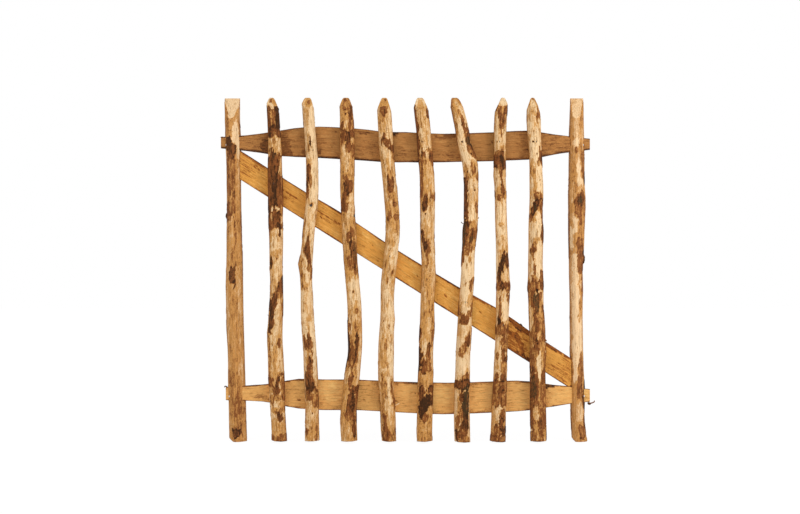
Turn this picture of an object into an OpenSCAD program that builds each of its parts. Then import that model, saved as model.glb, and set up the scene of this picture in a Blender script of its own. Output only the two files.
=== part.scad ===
// Paling gate leaf made of natural poles: two cleft stiles, two half-round rails with tapered
// through tenons, a diagonal brace between them, and a row of round pales with axe-cut tips.
// X runs along the gate, the pales stand on the -Y side, Z is up, sizes are in millimetres.
// The origin lies on the flat back of the hanging stile, halfway up.

/* [Leaf] */
// Length of both stiles
stile_h = 912; // [860:1:1000]
// Distance between the centre lines of the two stiles
stile_spacing = 912; // [860:1:1010]
// Height of the bottom rail's centre line above the feet
bottom_rail_z = 120; // [100:1:180]
// Drop from the stile tops to the top rail's centre line
top_rail_drop = 126; // [110:1:200]

/* [Stiles] */
// Width of a stile across its front
stile_w = 42; // [38:0.5:46]
// Depth of a stile from its flat back to the front
stile_d = 48; // [44:0.5:56]
// Thickness left at the top of a stile behind its long front bevel
stile_top_t = 14; // [8:0.5:24]
// Lean of the long front bevel
stile_bevel = 30; // [24:1:40]

/* [Rails] */
// Height of a rail where it is not tapered
rail_h = 80; // [70:1:88]
// Thickness of a rail from its flat front to the bark
rail_t = 32; // [26:0.5:34]
// Distance from the stiles' flat backs to the rails' flat fronts
rail_set = 36; // [35:0.5:40]
// Height of a tenon at its tip
tenon_h = 29; // [24:0.5:34]
// Thickness of a tenon
tenon_t = 21; // [16:0.5:24]
// Reach of a through tenon past the stile's centre line
tenon_reach = 33; // [28:1:45]
// Reach of the tenon that was sawn off short
short_reach = 20; // [18:1:30]
// Space around a tenon in its mortise
tenon_play = 0.3; // [0.1:0.1:0.8]

/* [Brace] */
// Width of the brace across its flat front
brace_w = 69; // [56:1:76]
// Thickness of the brace
brace_t = 26; // [22:0.5:30]
// Depth of the flat seats pared into the stiles for the brace's ends
brace_seat = 1.5; // [0.5:0.5:4]
// Space between the brace's trimmed corners and the rails
brace_play = 0.3; // [0.1:0.1:0.8]

/* [Pales] */
// Usual diameter of a pale
pale_d = 38; // [34:0.5:42]
// Length of a pale
pale_len = 909; // [860:1:1000]
// Height of a pale's foot above the stiles' feet, before it is sawn
pale_lift = 1; // [0:0.5:20]
// Depth of the flat notch where a pale crosses a rail or the brace
pale_notch = 3; // [1:0.5:6]

/* [Nails] */
// Diameter of a nail's shank
nail_d = 3; // [2.6:0.1:4]
// Diameter of a pale nail's head
nail_head_d = 7; // [5:0.5:9]
// Thickness of a nail's head
nail_head_t = 1.5; // [1:0.1:2]
// Length of a pale nail
nail_len = 50; // [42:1:54]
// Diameter of a tenon nail's head
pin_head_d = 5; // [4:0.5:7]
// Length of a tenon nail
pin_len = 36; // [28:1:40]
// Space around a driven nail
nail_play = 0.05; // [0.02:0.01:0.2]

/* [Hidden] */

// Fineness of the lofted timbers
pole_sides = 16;
pole_rings = 31;
stile_sides = 18;
rail_sides = 13;
rail_rings = 30;
brace_rings = 20;
round_fn = 32;
far = 300;

LEFT = -1;
RIGHT = 1;
top_rail_z = stile_h - top_rail_drop;
// Depth of a stile's heart from its flat back
stile_heart = 20;
stile_axis_y = -stile_heart;
rail_front_y = -rail_set;
// Play that each notch has above and below what it seats on
notch_margin = 4;

// How each stile grew: [share of its length, sideways wander, extra width]
left_stile_shape = [
    [0, 11, 4], [0.07, 9, 4], [0.14, 7, 6], [0.26, 5, 3], [0.38, 2, 3], [0.5, 1, 2],
    [0.61, 0, -2], [0.72, -1, -5], [0.85, -1, -1], [0.93, -5, -3], [1, -5, -2]
];
right_stile_shape = [
    [0, 7, -3], [0.07, 3, -7], [0.14, 2, -4], [0.26, -1, -9], [0.31, -1, -9], [0.41, -1, -7], [0.5, -1, -5],
    [0.58, 0, -1], [0.64, 0, 1], [0.7, 0, 3], [0.76, 0, 0], [0.9, 0, -2], [0.94, 0, -5], [1, 1, -7]
];

// Flats hewn along each stile: [direction from the gate's inside, distance from the heart]
left_stile_flats = [[-50, 23]];
right_stile_flats = [[-112, 24]];

// How each rail grew: [share of its length, rise, fullness from 0 at the tenon to 1 at full height]
top_rail_shape = [
    [0, 6, 0], [0.06, 5, 0.2], [0.1, 5, 0.38], [0.17, 5, 0.8], [0.21, 7, 0.95], [0.27, 7, 1.06],
    [0.38, 1, 1.06], [0.44, -5, 1], [0.5, -6, 1], [0.59, -8, 0.92], [0.72, -5, 0.92],
    [0.81, -1, 0.93], [0.84, 0, 0.9], [0.89, 1, 0.55], [0.94, 2, 0.28], [0.97, 2, 0.12], [1, 2, 0]
];
bottom_rail_shape = [
    [0, 7, 0.1], [0.06, 8, 0.22], [0.12, 8, 0.38], [0.16, 7, 0.7], [0.19, 7, 0.94], [0.26, 4, 1.01],
    [0.37, 3, 1.01], [0.47, -2, 1.02], [0.59, -6, 1.07], [0.71, -3, 1.05], [0.79, 0, 1.03],
    [0.83, 1, 0.94], [0.89, 1, 0.6], [0.94, 3, 0.36], [0.97, 3, 0.18], [1, 2, 0.08]
];

// How the brace grew: [share of its length from the head, extra width on its upper edge]
brace_shape = [
    [0, -4], [0.15, -5], [0.27, 0], [0.38, -4], [0.5, -4], [0.62, -1], [0.74, 6], [0.84, 1], [1, -2]
];

// How each pale grew: [share of its length, sideways wander, extra diameter]
pale_shapes = [
    [[0, 22, 3], [0.09, 19, 1], [0.18, 14, 4], [0.24, 13, 4], [0.3, 10, 3], [0.38, 14, 1],
     [0.44, 15, -3], [0.53, 14, -2], [0.67, 12, 0], [0.82, 11, -1], [0.91, 8, -5], [1, 2, -5]],
    [[0, 6, -1], [0.09, 7, -2], [0.2, 4, -1], [0.27, 1, -1], [0.38, -6, -3], [0.45, -8, -6],
     [0.52, -8, -5], [0.6, -2, -7], [0.72, 7, -4], [0.82, 6, -4], [0.94, -1, -6], [1, -6, -6]],
    [[0, 4, 5], [0.06, 2, 7], [0.1, 2, 4], [0.19, 11, 5], [0.23, 17, -2], [0.3, 20, 0], [0.4, 17, -1],
     [0.47, 12, -2], [0.52, 7, -2], [0.6, 4, 1], [0.67, 0, 0], [0.76, -1, 2], [0.92, -3, -1],
     [0.965, -5, -5], [1, -5, -5]],
    [[0, 7, 1], [0.06, 6, 4], [0.18, 0, 4], [0.26, -1, 4], [0.35, 2, -1], [0.41, 3, -3], [0.47, 6, 0],
     [0.59, 16, 1], [0.64, 16, 1], [0.73, 11, 0], [0.79, 5, -2], [0.9, -2, 0], [0.97, -6, -1], [1, -6, -1]],
    [[0, 0, 5], [0.06, -1, 5], [0.18, 3, 2], [0.25, 4, -1], [0.33, 6, 2], [0.4, 7, 0], [0.54, 10, 0],
     [0.59, 8, 0], [0.7, 8, 2], [0.78, 5, 0], [0.9, -3, -1], [0.95, -7, 0], [1, -12, 0]],
    [[0, -1, 4], [0.06, -3, 4], [0.2, -2, 1], [0.32, 3, 2], [0.47, 11, -1], [0.56, 14, -3],
     [0.64, 21, -1], [0.74, 22, -1], [0.79, 20, 2], [0.82, 16, 2], [0.86, 2, -2], [0.91, -3, 0],
     [0.94, -9, -1], [0.965, -14, -3], [1, -27, -3]],
    [[0, -11, 2], [0.06, -8, 1], [0.2, -3, -1], [0.3, 0, -2], [0.47, 4, -2], [0.55, 2, -6],
     [0.67, -2, -7], [0.79, -4, -5], [0.9, -3, -4], [1, 1, -6]],
    [[0, -4, 4], [0.09, -5, 5], [0.2, -6, 4], [0.34, -7, 4], [0.4, -11, 1], [0.45, -11, 2],
     [0.53, -12, 0], [0.62, -10, 3], [0.67, -11, -2], [0.73, -9, 1], [0.82, -12, -3], [0.94, -16, -1],
     [0.965, -17, -5], [1, -19, -5]]
];

// Knots of each pale: [share of its length, direction, swelling]
pale_knots = [
    [[0.31, 190, 3], [0.7, 40, 2.5]],
    [[0.51, 180, 6], [0.7, 250, 3]],
    [[0.66, 310, 3], [0.22, 170, 4]],
    [[0.36, 340, 3], [0.85, 270, 3]],
    [[0.18, 230, 3], [0.47, 10, 3]],
    [[0.83, 0, 4], [0.62, 200, 3]],
    [[0.45, 30, 3], [0.78, 190, 2.5]],
    [[0.44, 180, 3], [0.26, 350, 3]]
];

// Axe cuts at each tip: [left half width, left lean, right half width, right lean, back of the front cut]
pale_tips = [
    [7, 20, 5, 24, 5],
    [7, 22, 9, 17, 5],
    [8, 20, 8, 20, 5],
    [6, 20, 8, 17, 6],
    [8, 18, 8, 22, 5],
    [4, 3, 14, 28, 5],
    [1, 24, 8, 22, 4],
    [4, 19, 5, 20, 5]
];
front_cut = 36;

// Each pale's sawn foot: [slant, height that is sawn off]
pale_feet = [[3, 3.5], [-2, 3.5], [-3, 3.5], [2, 3], [-2, 3], [3, 1], [4, 2], [-2, 3]];

pale_count = len(pale_shapes);
pale_pitch = stile_spacing / (pale_count + 1);

// Row of a shape table that lies just before the place t
function row_before(table, t, i = 0) =
    i >= len(table) - 2 || t < table[i + 1][0] ? i : row_before(table, t, i + 1);

// Slope of a column at one row, taken between its neighbours
function slope_at(table, i, column) =
    let (a = table[max(0, i - 1)], b = table[min(len(table) - 1, i + 1)])
    (b[column] - a[column]) / (b[0] - a[0]);

// Value of a column at the place t, on a smooth curve through the rows
function along(table, t, column) =
    let (i = row_before(table, t), a = table[i], b = table[i + 1])
    let (step = b[0] - a[0], u = (t - a[0]) / step, v = 1 - u)
    a[column] * v * v * (1 + 2 * u) + b[column] * u * u * (1 + 2 * v)
    + step * u * v * (slope_at(table, i, column) * v - slope_at(table, i + 1, column) * u);

// Shallow unevenness of a grown surface
function ripple(turn, place, seed) =
    0.7 * sin(2 * turn + 0.7 * place + 77 * seed)
    + 0.5 * sin(3 * turn - 1.1 * place + 131 * seed)
    + 0.4 * sin(turn + 2.9 * place + 59 * seed);

// Reach of a knot's swelling along the pole, and how closely it stays to one side
knot_reach = 17;
knot_focus = 3.2;

// Swelling around one knot
function swelling(knot, t, turn, length) =
    let (rise = (t - knot[0]) * length / knot_reach, round = sin((turn - knot[1]) / 2) * knot_focus)
    knot[2] * exp(-rise * rise - round * round);

// Angle from one direction to another, between -180 and 180
function turn_between(a, b) = ((b - a) % 360 + 540) % 360 - 180;

// Sum of a list
function total(list, i = 0) = i < len(list) ? list[i] + total(list, i + 1) : 0;

// Skin through a row of rings that all have as many points, each counterclockwise seen from the far end
module loft(rings) {
    n = len(rings[0]);
    last = len(rings) - 1;
    skin = [
        for (i = [0 : last - 1], k = [0 : n - 1])
            let (a = i * n + k, b = i * n + (k + 1) % n)
            each [[a, a + n, b + n], [a, b + n, b]]
    ];
    start_cap = [for (k = [0 : n - 1]) k];
    end_cap = [for (k = [n - 1 : -1 : 0]) last * n + k];
    polyhedron(points = [for (ring = rings) each ring], faces = concat([start_cap], skin, [end_cap]));
}

// Everything beyond a plane through a point, whose face looks along turn and leans outward going down
module beyond(point, turn, lean) {
    translate(point)
        rotate([0, -lean, turn])
            translate([0, -far / 2, -far / 2])
                cube(far);
}

// ---- Stiles ----

function stile_x(side) = side * stile_spacing / 2;
function stile_shape(side) = side == LEFT ? left_stile_shape : right_stile_shape;
function stile_flats(side) = side == LEFT ? left_stile_flats : right_stile_flats;
function stile_axis_x(side, z) = stile_x(side) + along(stile_shape(side), z / stile_h, 1);
function stile_width(side, z) = stile_w + along(stile_shape(side), z / stile_h, 2);
function stile_inner_x(side, z) = stile_axis_x(side, z) - side * stile_width(side, z) / 2;

// Share by which a stile's round would pass the flat that is cleft on its inside
cleft_bulge = 0.16;

// How far round from its middle a hewn flat can still cut into the round
hewn_reach = 78;

// Distance from the heart to the surface, with turn counted from the gate's inside
function stile_radius(side, z, turn) =
    let (half = stile_width(side, z) / 2, front = stile_d - stile_heart)
    let (across = cos(turn) > 0 ? half * (1 + cleft_bulge) : half)
    let (oval = 1 / sqrt(pow(cos(turn) / across, 2) + pow(sin(turn) / front, 2)))
    let (grown = oval + ripple(turn, z, 3 + side))
    min(concat(
        [grown],
        [for (flat = concat([[0, half]], stile_flats(side)))
            abs(turn_between(turn, flat[0])) < hewn_reach ? flat[1] / cos(turn - flat[0]) : grown]
    ));

// Ring of a stile that stands on the right, as both are hewn before the left one is mirrored
function stile_ring(side, z) = [
    for (k = [0 : stile_sides - 1])
        let (turn = 360 * k / stile_sides)
        let (r = stile_radius(side, z, 180 - turn))
        [side * stile_axis_x(side, z) + r * cos(turn), stile_axis_y + r * sin(turn), z]
];

// Cleft pole with the long bevel at its top
module hewn_stile(side) {
    mirror([side == LEFT ? 1 : 0, 0, 0])
        difference() {
            loft([for (i = [0 : pole_rings]) stile_ring(side, stile_h * i / pole_rings)]);
            beyond([side * stile_axis_x(side, stile_h), -stile_top_t, stile_h], -90, stile_bevel);
        }
}

module stile(side) {
    difference() {
        hewn_stile(side);
        flat_back();
        brace_housing(side);
        mortise(side, top_rail_shape, top_rail_z, tenon_reach);
        mortise(side, bottom_rail_shape, bottom_rail_z, short_reach);
        pin_space(side, top_rail_z);
        pin_space(side, bottom_rail_z);
        foot_chamfer(side);
    }
}

// The stiles' backs are sawn flat on one plane
module flat_back() {
    translate([-stile_spacing, 0, -far])
        cube([2 * stile_spacing, far, stile_h + 2 * far]);
}

// Rise and lean of the worn corner at each stile's foot
worn_rise = 8;
left_worn_lean = 58;
right_worn_lean = 38;

// The left stile's foot is worn on its outer corner, the right one's on its inner corner
module foot_chamfer(side) {
    corner_x = stile_axis_x(side, 0) - stile_width(side, 0) / 2;
    translate([corner_x, stile_axis_y, worn_rise])
        rotate([0, 180 - (side == LEFT ? left_worn_lean : right_worn_lean), 0])
            translate([0, -far / 2, -far / 2])
                cube(far);
}

// ---- Rails ----

function rail_length(reach) = stile_spacing + reach + tenon_reach;
function rail_start_x(reach) = -stile_spacing / 2 - reach;
function rail_share(reach, x) = (x - rail_start_x(reach)) / rail_length(reach);
function rail_middle_z(shape, z, reach, x) = z + along(shape, rail_share(reach, x), 1);
function rail_height(shape, reach, x) =
    tenon_h + (rail_h - tenon_h) * along(shape, rail_share(reach, x), 2);
function rail_thickness(shape, reach, x) =
    tenon_t + (rail_t - tenon_t) * min(1, thickening * along(shape, rail_share(reach, x), 2));

// How much sooner than its height a rail gains its full thickness, and how boxy its back is
thickening = 1.6;
back_power = 0.8;

// D-shaped section: a flat front and a bark-covered back
function half_round(x, middle, height, thickness, grow, seed) = [
    for (k = [0 : rail_sides])
        let (turn = 180 * k / rail_sides)
        let (lump = grow > 0 ? 0 : ripple(turn, x, seed) * sin(turn))
        [x,
         rail_front_y - grow + (thickness + 2 * grow + lump) * pow(sin(turn), back_power),
         middle - (height / 2 + grow) * cos(turn)]
];

// Stretch of a rail between two places along the gate
module rail_stretch(shape, z, reach, start, end, rings, grow = 0) {
    loft([
        for (i = [0 : rings])
            let (x = start + (end - start) * i / rings)
            half_round(x, rail_middle_z(shape, z, reach, x), rail_height(shape, reach, x),
                       rail_thickness(shape, reach, x), grow, z)
    ]);
}

module rail_wood(shape, z, reach) {
    start = rail_start_x(reach);
    rail_stretch(shape, z, reach, start, start + rail_length(reach), rail_rings);
}

// How far the shape that cuts a mortise runs past the stile on each side, and its fineness
mortise_reach = 16;
mortise_rings = 5;

// Tapered hole that fits a rail's tenon with a little play
module mortise(side, shape, z, reach) {
    half = stile_w / 2 + mortise_reach;
    rail_stretch(shape, z, reach, stile_x(side) - half, stile_x(side) + half, mortise_rings, tenon_play);
}

// ---- Brace ----

function head_corner_z() =
    let (x = brace_end_x(LEFT))
    rail_middle_z(top_rail_shape, top_rail_z, tenon_reach, x)
    - rail_height(top_rail_shape, tenon_reach, x) / 2 - brace_play;
function toe_corner_z() =
    let (x = brace_end_x(RIGHT))
    rail_middle_z(bottom_rail_shape, bottom_rail_z, short_reach, x)
    + rail_height(bottom_rail_shape, short_reach, x) / 2 + brace_play;

// Distance between a rail's centre line and the middle of the seat beside it
brace_head_drop = 60;
brace_toe_rise = 65;
// Height by which the brace's edges run past its trimmed corners at the toe and at the head
toe_trim = 6;
head_trim = 3;
// Extra height of a seat, and extra length of the brace before its ends are sawn
seat_margin = 24;
end_margin = 60;

brace_head_z = top_rail_z - brace_head_drop;
brace_toe_z = bottom_rail_z + brace_toe_rise;
brace_head_w = brace_w + brace_shape[0][1];
brace_widest = brace_w + max([for (row = brace_shape) row[1]]);
function brace_end_x(side) =
    stile_inner_x(side, side == LEFT ? brace_head_z : brace_toe_z) + side * brace_seat;
brace_span = brace_end_x(RIGHT) - brace_end_x(LEFT);
brace_drop = head_corner_z() - toe_corner_z() + toe_trim + head_trim;
brace_lean = atan((brace_drop - brace_head_w / cos(atan(brace_drop / brace_span))) / brace_span);
brace_foot_z = toe_corner_z() - toe_trim;
brace_length = brace_span / cos(brace_lean);

// Places the brace's own frame, with X along its straight lower edge from the toe up to the head
module on_brace() {
    translate([brace_end_x(RIGHT), 0, brace_foot_z])
        rotate([0, brace_lean, 0])
            children();
}

module brace_wood() {
    on_brace()
        loft([
            for (i = [0 : brace_rings])
                let (x = -brace_length - end_margin + (brace_length + 2 * end_margin) * i / brace_rings)
                let (t = min(1, max(0, 1 + x / brace_length)))
                let (width = brace_w + along(brace_shape, t, 1))
                half_round(x, width / 2, width, brace_t, 0, 11)
        ]);
}

// The space between the two stiles' seats and between the two rails, where the brace fits
module brace_bay() {
    translate([brace_end_x(LEFT), -far, toe_corner_z()])
        cube([brace_span, 2 * far, head_corner_z() - toe_corner_z()]);
}

// Flat seat pared into a stile's inner side for the brace's end
module brace_housing(side) {
    z = side == LEFT ? brace_head_z : brace_toe_z;
    height = brace_w / cos(brace_lean) + seat_margin;
    translate([side == LEFT ? brace_end_x(LEFT) : brace_end_x(RIGHT) - far, -far, z - height / 2])
        cube([far, 2 * far, height]);
}

module brace_timber() {
    difference() {
        intersection() {
            brace_wood();
            brace_bay();
        }
        for (i = [0 : pale_count - 1])
            nail_space(brace_nail_at(i));
    }
}

function brace_middle_z(x) =
    brace_foot_z + (brace_end_x(RIGHT) - x) * tan(brace_lean)
    + (brace_w + along(brace_shape, (x - brace_end_x(LEFT)) / brace_span, 1)) / 2 / cos(brace_lean);

// ---- Pales ----

function pale_share(z) = (z - pale_lift) / pale_len;
function pale_stand_x(i) = -stile_spacing / 2 + pale_pitch * (i + 1);
function pale_x(i, z) = pale_stand_x(i) + along(pale_shapes[i], pale_share(z), 1);
function pale_girth(i, z) = pale_d + along(pale_shapes[i], pale_share(z), 2);
function pale_y(i) = rail_front_y + pale_notch - pale_d / 2;
function pale_radius(i, z, turn) =
    pale_girth(i, z) / 2 + ripple(turn, z, i)
    + total([for (knot = pale_knots[i]) swelling(knot, pale_share(z), turn, pale_len)]);
function pale_front(i, z) = pale_y(i) - pale_radius(i, z, 270);

function pale_ring(i, z) = [
    for (k = [0 : pole_sides - 1])
        let (turn = 360 * k / pole_sides, r = pale_radius(i, z, turn))
        [pale_x(i, z) + r * cos(turn), pale_y(i) + r * sin(turn), z]
];

module pale(i) {
    difference() {
        loft([for (k = [0 : pole_rings]) pale_ring(i, pale_lift + pale_len * k / pole_rings)]);
        pale_tip_cuts(i);
        pale_foot_cut(i);
        pale_notches(i);
        nail_space(top_nail_at(i));
        nail_space(bottom_nail_at(i));
        nail_space(brace_nail_at(i));
    }
}

// Two side cuts and one long front cut
module pale_tip_cuts(i) {
    top = pale_lift + pale_len;
    tip = pale_tips[i];
    x = pale_x(i, top);
    beyond([x - tip[0], pale_y(i), top], 180, tip[1]);
    beyond([x + tip[2], pale_y(i), top], 0, tip[3]);
    beyond([x, pale_y(i) + tip[4], top], -90, front_cut);
}

module pale_foot_cut(i) {
    translate([pale_x(i, pale_lift), pale_y(i), pale_lift + pale_feet[i][1]])
        rotate([0, pale_feet[i][0], 0])
            translate([-far / 2, -far / 2, -far])
                cube([far, far, far]);
}

// Flats on the pale's back where it seats on the rails and on the brace
module pale_notches(i) {
    rail_notch(i, top_rail_shape, top_rail_z, tenon_reach);
    rail_notch(i, bottom_rail_shape, bottom_rail_z, short_reach);
    translate([0, rail_front_y, 0])
        on_brace()
            translate([-brace_length - far, 0, -notch_margin])
                cube([brace_length + 2 * far, far, brace_widest + 2 * notch_margin]);
}

module rail_notch(i, shape, z, reach) {
    x = pale_x(i, z);
    height = rail_height(shape, reach, x) + 2 * notch_margin;
    translate([x - far / 2, rail_front_y, rail_middle_z(shape, z, reach, x) - height / 2])
        cube([far, far, height]);
}

// ---- Nails ----

// Depth of a nail's head in the wood, and the direction of the tenon nails from the gate's outside
nail_sink = 0.3;
pin_turn = 45;
// Length of the free way in front of a nail's head
nail_clear = 30;
// Height of the nails above the middle of what they are driven into
top_nail_rise = 6;
brace_nail_rise = 10;

function pale_nail_at(i, z) = [pale_x(i, z), pale_front(i, z) + nail_sink, z];
function top_nail_at(i) = pale_nail_at(i, top_rail_z + top_nail_rise);
function bottom_nail_at(i) = pale_nail_at(i, bottom_rail_z);
function brace_nail_at(i) =
    pale_nail_at(i, brace_middle_z(pale_x(i, brace_middle_z(pale_stand_x(i)))) + brace_nail_rise);

// Nail along +Z with its head's face on the origin
module steel_nail(head_d, length) {
    cylinder(h = nail_head_t, d = head_d, $fn = round_fn);
    cylinder(h = length, d = nail_d, $fn = round_fn);
}

// Hole that such a nail makes, open in front of its head
module nail_hole(head_d, length) {
    translate([0, 0, -nail_clear])
        cylinder(h = nail_clear + nail_head_t + nail_play, d = head_d + 2 * nail_play, $fn = round_fn);
    cylinder(h = length + nail_play, d = nail_d + 2 * nail_play, $fn = round_fn);
}

// A nail driven along +Y, with the middle of its head's face at the given point
module nail(at) {
    translate(at)
        rotate([-90, 0, 0])
            steel_nail(nail_head_d, nail_len);
}

module nail_space(at) {
    translate(at)
        rotate([-90, 0, 0])
            nail_hole(nail_head_d, nail_len);
}

module nails(places) {
    for (place = places)
        nail(place);
}

// Turns the children so that +Z runs from the outer front of a stile in towards its heart
module at_pin(side, z) {
    turn = side == LEFT ? 180 + pin_turn : -pin_turn;
    r = stile_radius(side, z, 180 + pin_turn) - nail_sink;
    translate([stile_axis_x(side, z) + r * cos(turn), stile_axis_y + r * sin(turn), z])
        rotate([0, -90, turn])
            children();
}

module pin(side, z) {
    at_pin(side, z)
        steel_nail(pin_head_d, pin_len);
}

module pin_space(side, z) {
    at_pin(side, z)
        nail_hole(pin_head_d, pin_len);
}

// ---- Nodes ----

// Moves the leaf so that the origin lies on the hanging stile's back, halfway up
module placed() {
    translate([-stile_axis_x(RIGHT, stile_h / 2), 0, -stile_h / 2])
        children();
}

module left_stile() {
    color("peru") placed() stile(LEFT);
}

module right_stile() {
    color("burlywood") placed() stile(RIGHT);
}

module top_rail() {
    color("sienna") placed()
        difference() {
            rail_wood(top_rail_shape, top_rail_z, tenon_reach);
            pin_space(LEFT, top_rail_z);
            pin_space(RIGHT, top_rail_z);
            for (i = [0 : pale_count - 1])
                nail_space(top_nail_at(i));
        }
}

module bottom_rail() {
    color("tan") placed()
        difference() {
            rail_wood(bottom_rail_shape, bottom_rail_z, short_reach);
            pin_space(LEFT, bottom_rail_z);
            pin_space(RIGHT, bottom_rail_z);
            for (i = [0 : pale_count - 1])
                nail_space(bottom_nail_at(i));
        }
}

module brace() {
    color("goldenrod") placed() brace_timber();
}

module pale_node(i) {
    color(i % 2 == 0 ? "sandybrown" : "wheat") placed() pale(i);
}

module top_rail_nails() {
    color("dimgray") placed() nails([for (i = [0 : pale_count - 1]) top_nail_at(i)]);
}

module bottom_rail_nails() {
    color("dimgray") placed() nails([for (i = [0 : pale_count - 1]) bottom_nail_at(i)]);
}

module brace_nails() {
    color("dimgray") placed() nails([for (i = [0 : pale_count - 1]) brace_nail_at(i)]);
}

module tenon_nail(side, z) {
    color("silver") placed() pin(side, z);
}

left_stile();
right_stile();
top_rail();
bottom_rail();
brace();
pale_node(0);  // pale_1
pale_node(1);  // pale_2
pale_node(2);  // pale_3
pale_node(3);  // pale_4
pale_node(4);  // pale_5
pale_node(5);  // pale_6
pale_node(6);  // pale_7
pale_node(7);  // pale_8
top_rail_nails();
bottom_rail_nails();
brace_nails();
tenon_nail(LEFT, top_rail_z);  // top_left_tenon_nail
tenon_nail(RIGHT, top_rail_z);  // top_right_tenon_nail
tenon_nail(LEFT, bottom_rail_z);  // bottom_left_tenon_nail
tenon_nail(RIGHT, bottom_rail_z);  // bottom_right_tenon_nail
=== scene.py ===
"""Dresses a paling gate leaf of natural poles: peeled and bark-covered timber, nails and loose slivers."""
import logging
import math
from dataclasses import dataclass
from enum import Enum
from functools import partial
from typing import Sequence

import bpy
import numpy as np
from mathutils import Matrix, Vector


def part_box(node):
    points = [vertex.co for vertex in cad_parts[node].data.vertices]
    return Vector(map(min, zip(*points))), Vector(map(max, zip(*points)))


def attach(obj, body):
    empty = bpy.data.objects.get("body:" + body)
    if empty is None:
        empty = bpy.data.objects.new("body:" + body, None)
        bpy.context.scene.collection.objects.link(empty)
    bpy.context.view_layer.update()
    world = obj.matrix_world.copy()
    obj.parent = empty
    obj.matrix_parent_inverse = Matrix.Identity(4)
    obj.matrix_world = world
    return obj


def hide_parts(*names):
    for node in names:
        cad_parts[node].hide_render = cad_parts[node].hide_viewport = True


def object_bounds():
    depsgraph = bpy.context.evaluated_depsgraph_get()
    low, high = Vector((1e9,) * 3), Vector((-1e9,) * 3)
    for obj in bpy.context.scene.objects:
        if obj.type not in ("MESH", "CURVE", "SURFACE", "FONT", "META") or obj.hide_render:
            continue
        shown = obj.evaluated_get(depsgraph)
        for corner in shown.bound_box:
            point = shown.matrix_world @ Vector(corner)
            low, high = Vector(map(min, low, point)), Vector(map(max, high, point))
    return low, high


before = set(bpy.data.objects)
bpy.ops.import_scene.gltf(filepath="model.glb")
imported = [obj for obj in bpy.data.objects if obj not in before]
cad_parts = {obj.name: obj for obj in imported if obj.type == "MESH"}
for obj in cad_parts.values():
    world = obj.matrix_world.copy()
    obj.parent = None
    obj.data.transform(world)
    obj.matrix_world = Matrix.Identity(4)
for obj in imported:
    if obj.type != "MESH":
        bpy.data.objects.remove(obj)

LOG = logging.getLogger("gate")
CAD_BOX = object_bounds()
MM = 0.001
Colour = tuple[float, float, float]
Place = tuple[float, float, float]


# ---------------------------------------------------------------- words of the trade

class Bark(Enum):
    """How much of the skin is left on a spot: (depth from bare wood 0 to outer bark 1, share of moss)."""

    WHITE = (0.0, 0.0)
    CREAM = (0.16, 0.0)
    STRAW = (0.24, 0.0)
    TAN = (0.34, 0.0)
    ORANGE = (0.46, 0.0)
    RED = (0.58, 0.0)
    BROWN = (0.74, 0.0)
    DARK = (0.88, 0.05)
    BLACK = (1.0, 0.1)
    OLIVE = (0.86, 0.9)
    MOSSY = (0.76, 0.9)
    LICHEN = (0.64, 0.9)


class Run(Enum):
    """Which way a timber runs: the column of its length and of its width across the front."""

    UPRIGHT = (2, 0)
    LYING = (0, 2)


class Knot(Enum):
    """Small marks: (swell, pit and radius in mm, bark depth of the middle, bark depth of the rim if any)."""

    # A hole's black middle, with the darkening of the pits in the finish, is painted shade in the dip.
    HOLE = (0.2, 1.6, 2.0, 1.0, None)
    DOT = (0.0, 0.6, 1.4, 0.92, None)
    NAIL = (0.0, 1.6, 3.6, 0.8, None)
    SCAR = (1.0, 0.3, 2.6, 0.5, 0.64)
    EYE = (1.2, 0.4, 2.4, 0.74, 0.52)


@dataclass(frozen=True)
class Patch:
    """A patch of one kind of skin.

    at and tall are its middle and half its length, as shares of the timber's length from the foot or the
    left end. side and wide are its middle and half its width, where the front runs from -1 to 1. lean is
    the shift across per share of length.
    """

    at: float
    side: float
    tall: float
    wide: float
    bark: Bark
    lean: float = 0.0


@dataclass(frozen=True)
class Mark:
    """One knot, hole or nail spot at a share of the length and a place from -1 to 1 across the front."""

    at: float
    side: float
    knot: Knot
    size: float = 1.0


@dataclass(frozen=True)
class Grain:
    """A wood's finish: its colours from bare wood to outer bark, and how strong its pattern is."""

    name: str
    bare: Colour
    middle: Colour
    inner: Colour
    outer: Colour
    moss: Colour
    streak: float
    mottle: float
    specks: float
    bump: float


GRAINS = (
    Grain("stile_wood", (0.95, 0.65, 0.36), (0.64, 0.30, 0.08), (0.32, 0.108, 0.028), (0.062, 0.024, 0.008),
          (0.09, 0.068, 0.028), streak=0.6, mottle=0.5, specks=0.7, bump=1.0),
    Grain("top_rail_wood", (0.66, 0.345, 0.11), (0.49, 0.212, 0.056), (0.27, 0.1, 0.027),
          (0.045, 0.02, 0.01), (0.12, 0.08, 0.03), streak=0.6, mottle=0.38, specks=0.3, bump=0.8),
    Grain("bottom_rail_wood", (0.97, 0.62, 0.22), (0.88, 0.45, 0.13), (0.42, 0.16, 0.042),
          (0.05, 0.022, 0.011), (0.13, 0.09, 0.035), streak=0.6, mottle=0.4, specks=0.3, bump=0.8),
    Grain("brace_wood", (0.97, 0.56, 0.155), (0.8, 0.365, 0.068), (0.4, 0.12, 0.02), (0.05, 0.022, 0.011),
          (0.13, 0.09, 0.035), streak=0.65, mottle=0.4, specks=0.3, bump=0.8),
    Grain("pale_wood", (0.94, 0.66, 0.365), (0.66, 0.32, 0.084), (0.31, 0.1, 0.024), (0.062, 0.022, 0.006),
          (0.085, 0.06, 0.022), streak=0.62, mottle=0.7, specks=1.0, bump=1.0),
)


# ---------------------------------------------------------------- arrays

LATTICE_ROWS = 509
OCTAVES = 3
OCTAVE_SEED = 17


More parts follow.
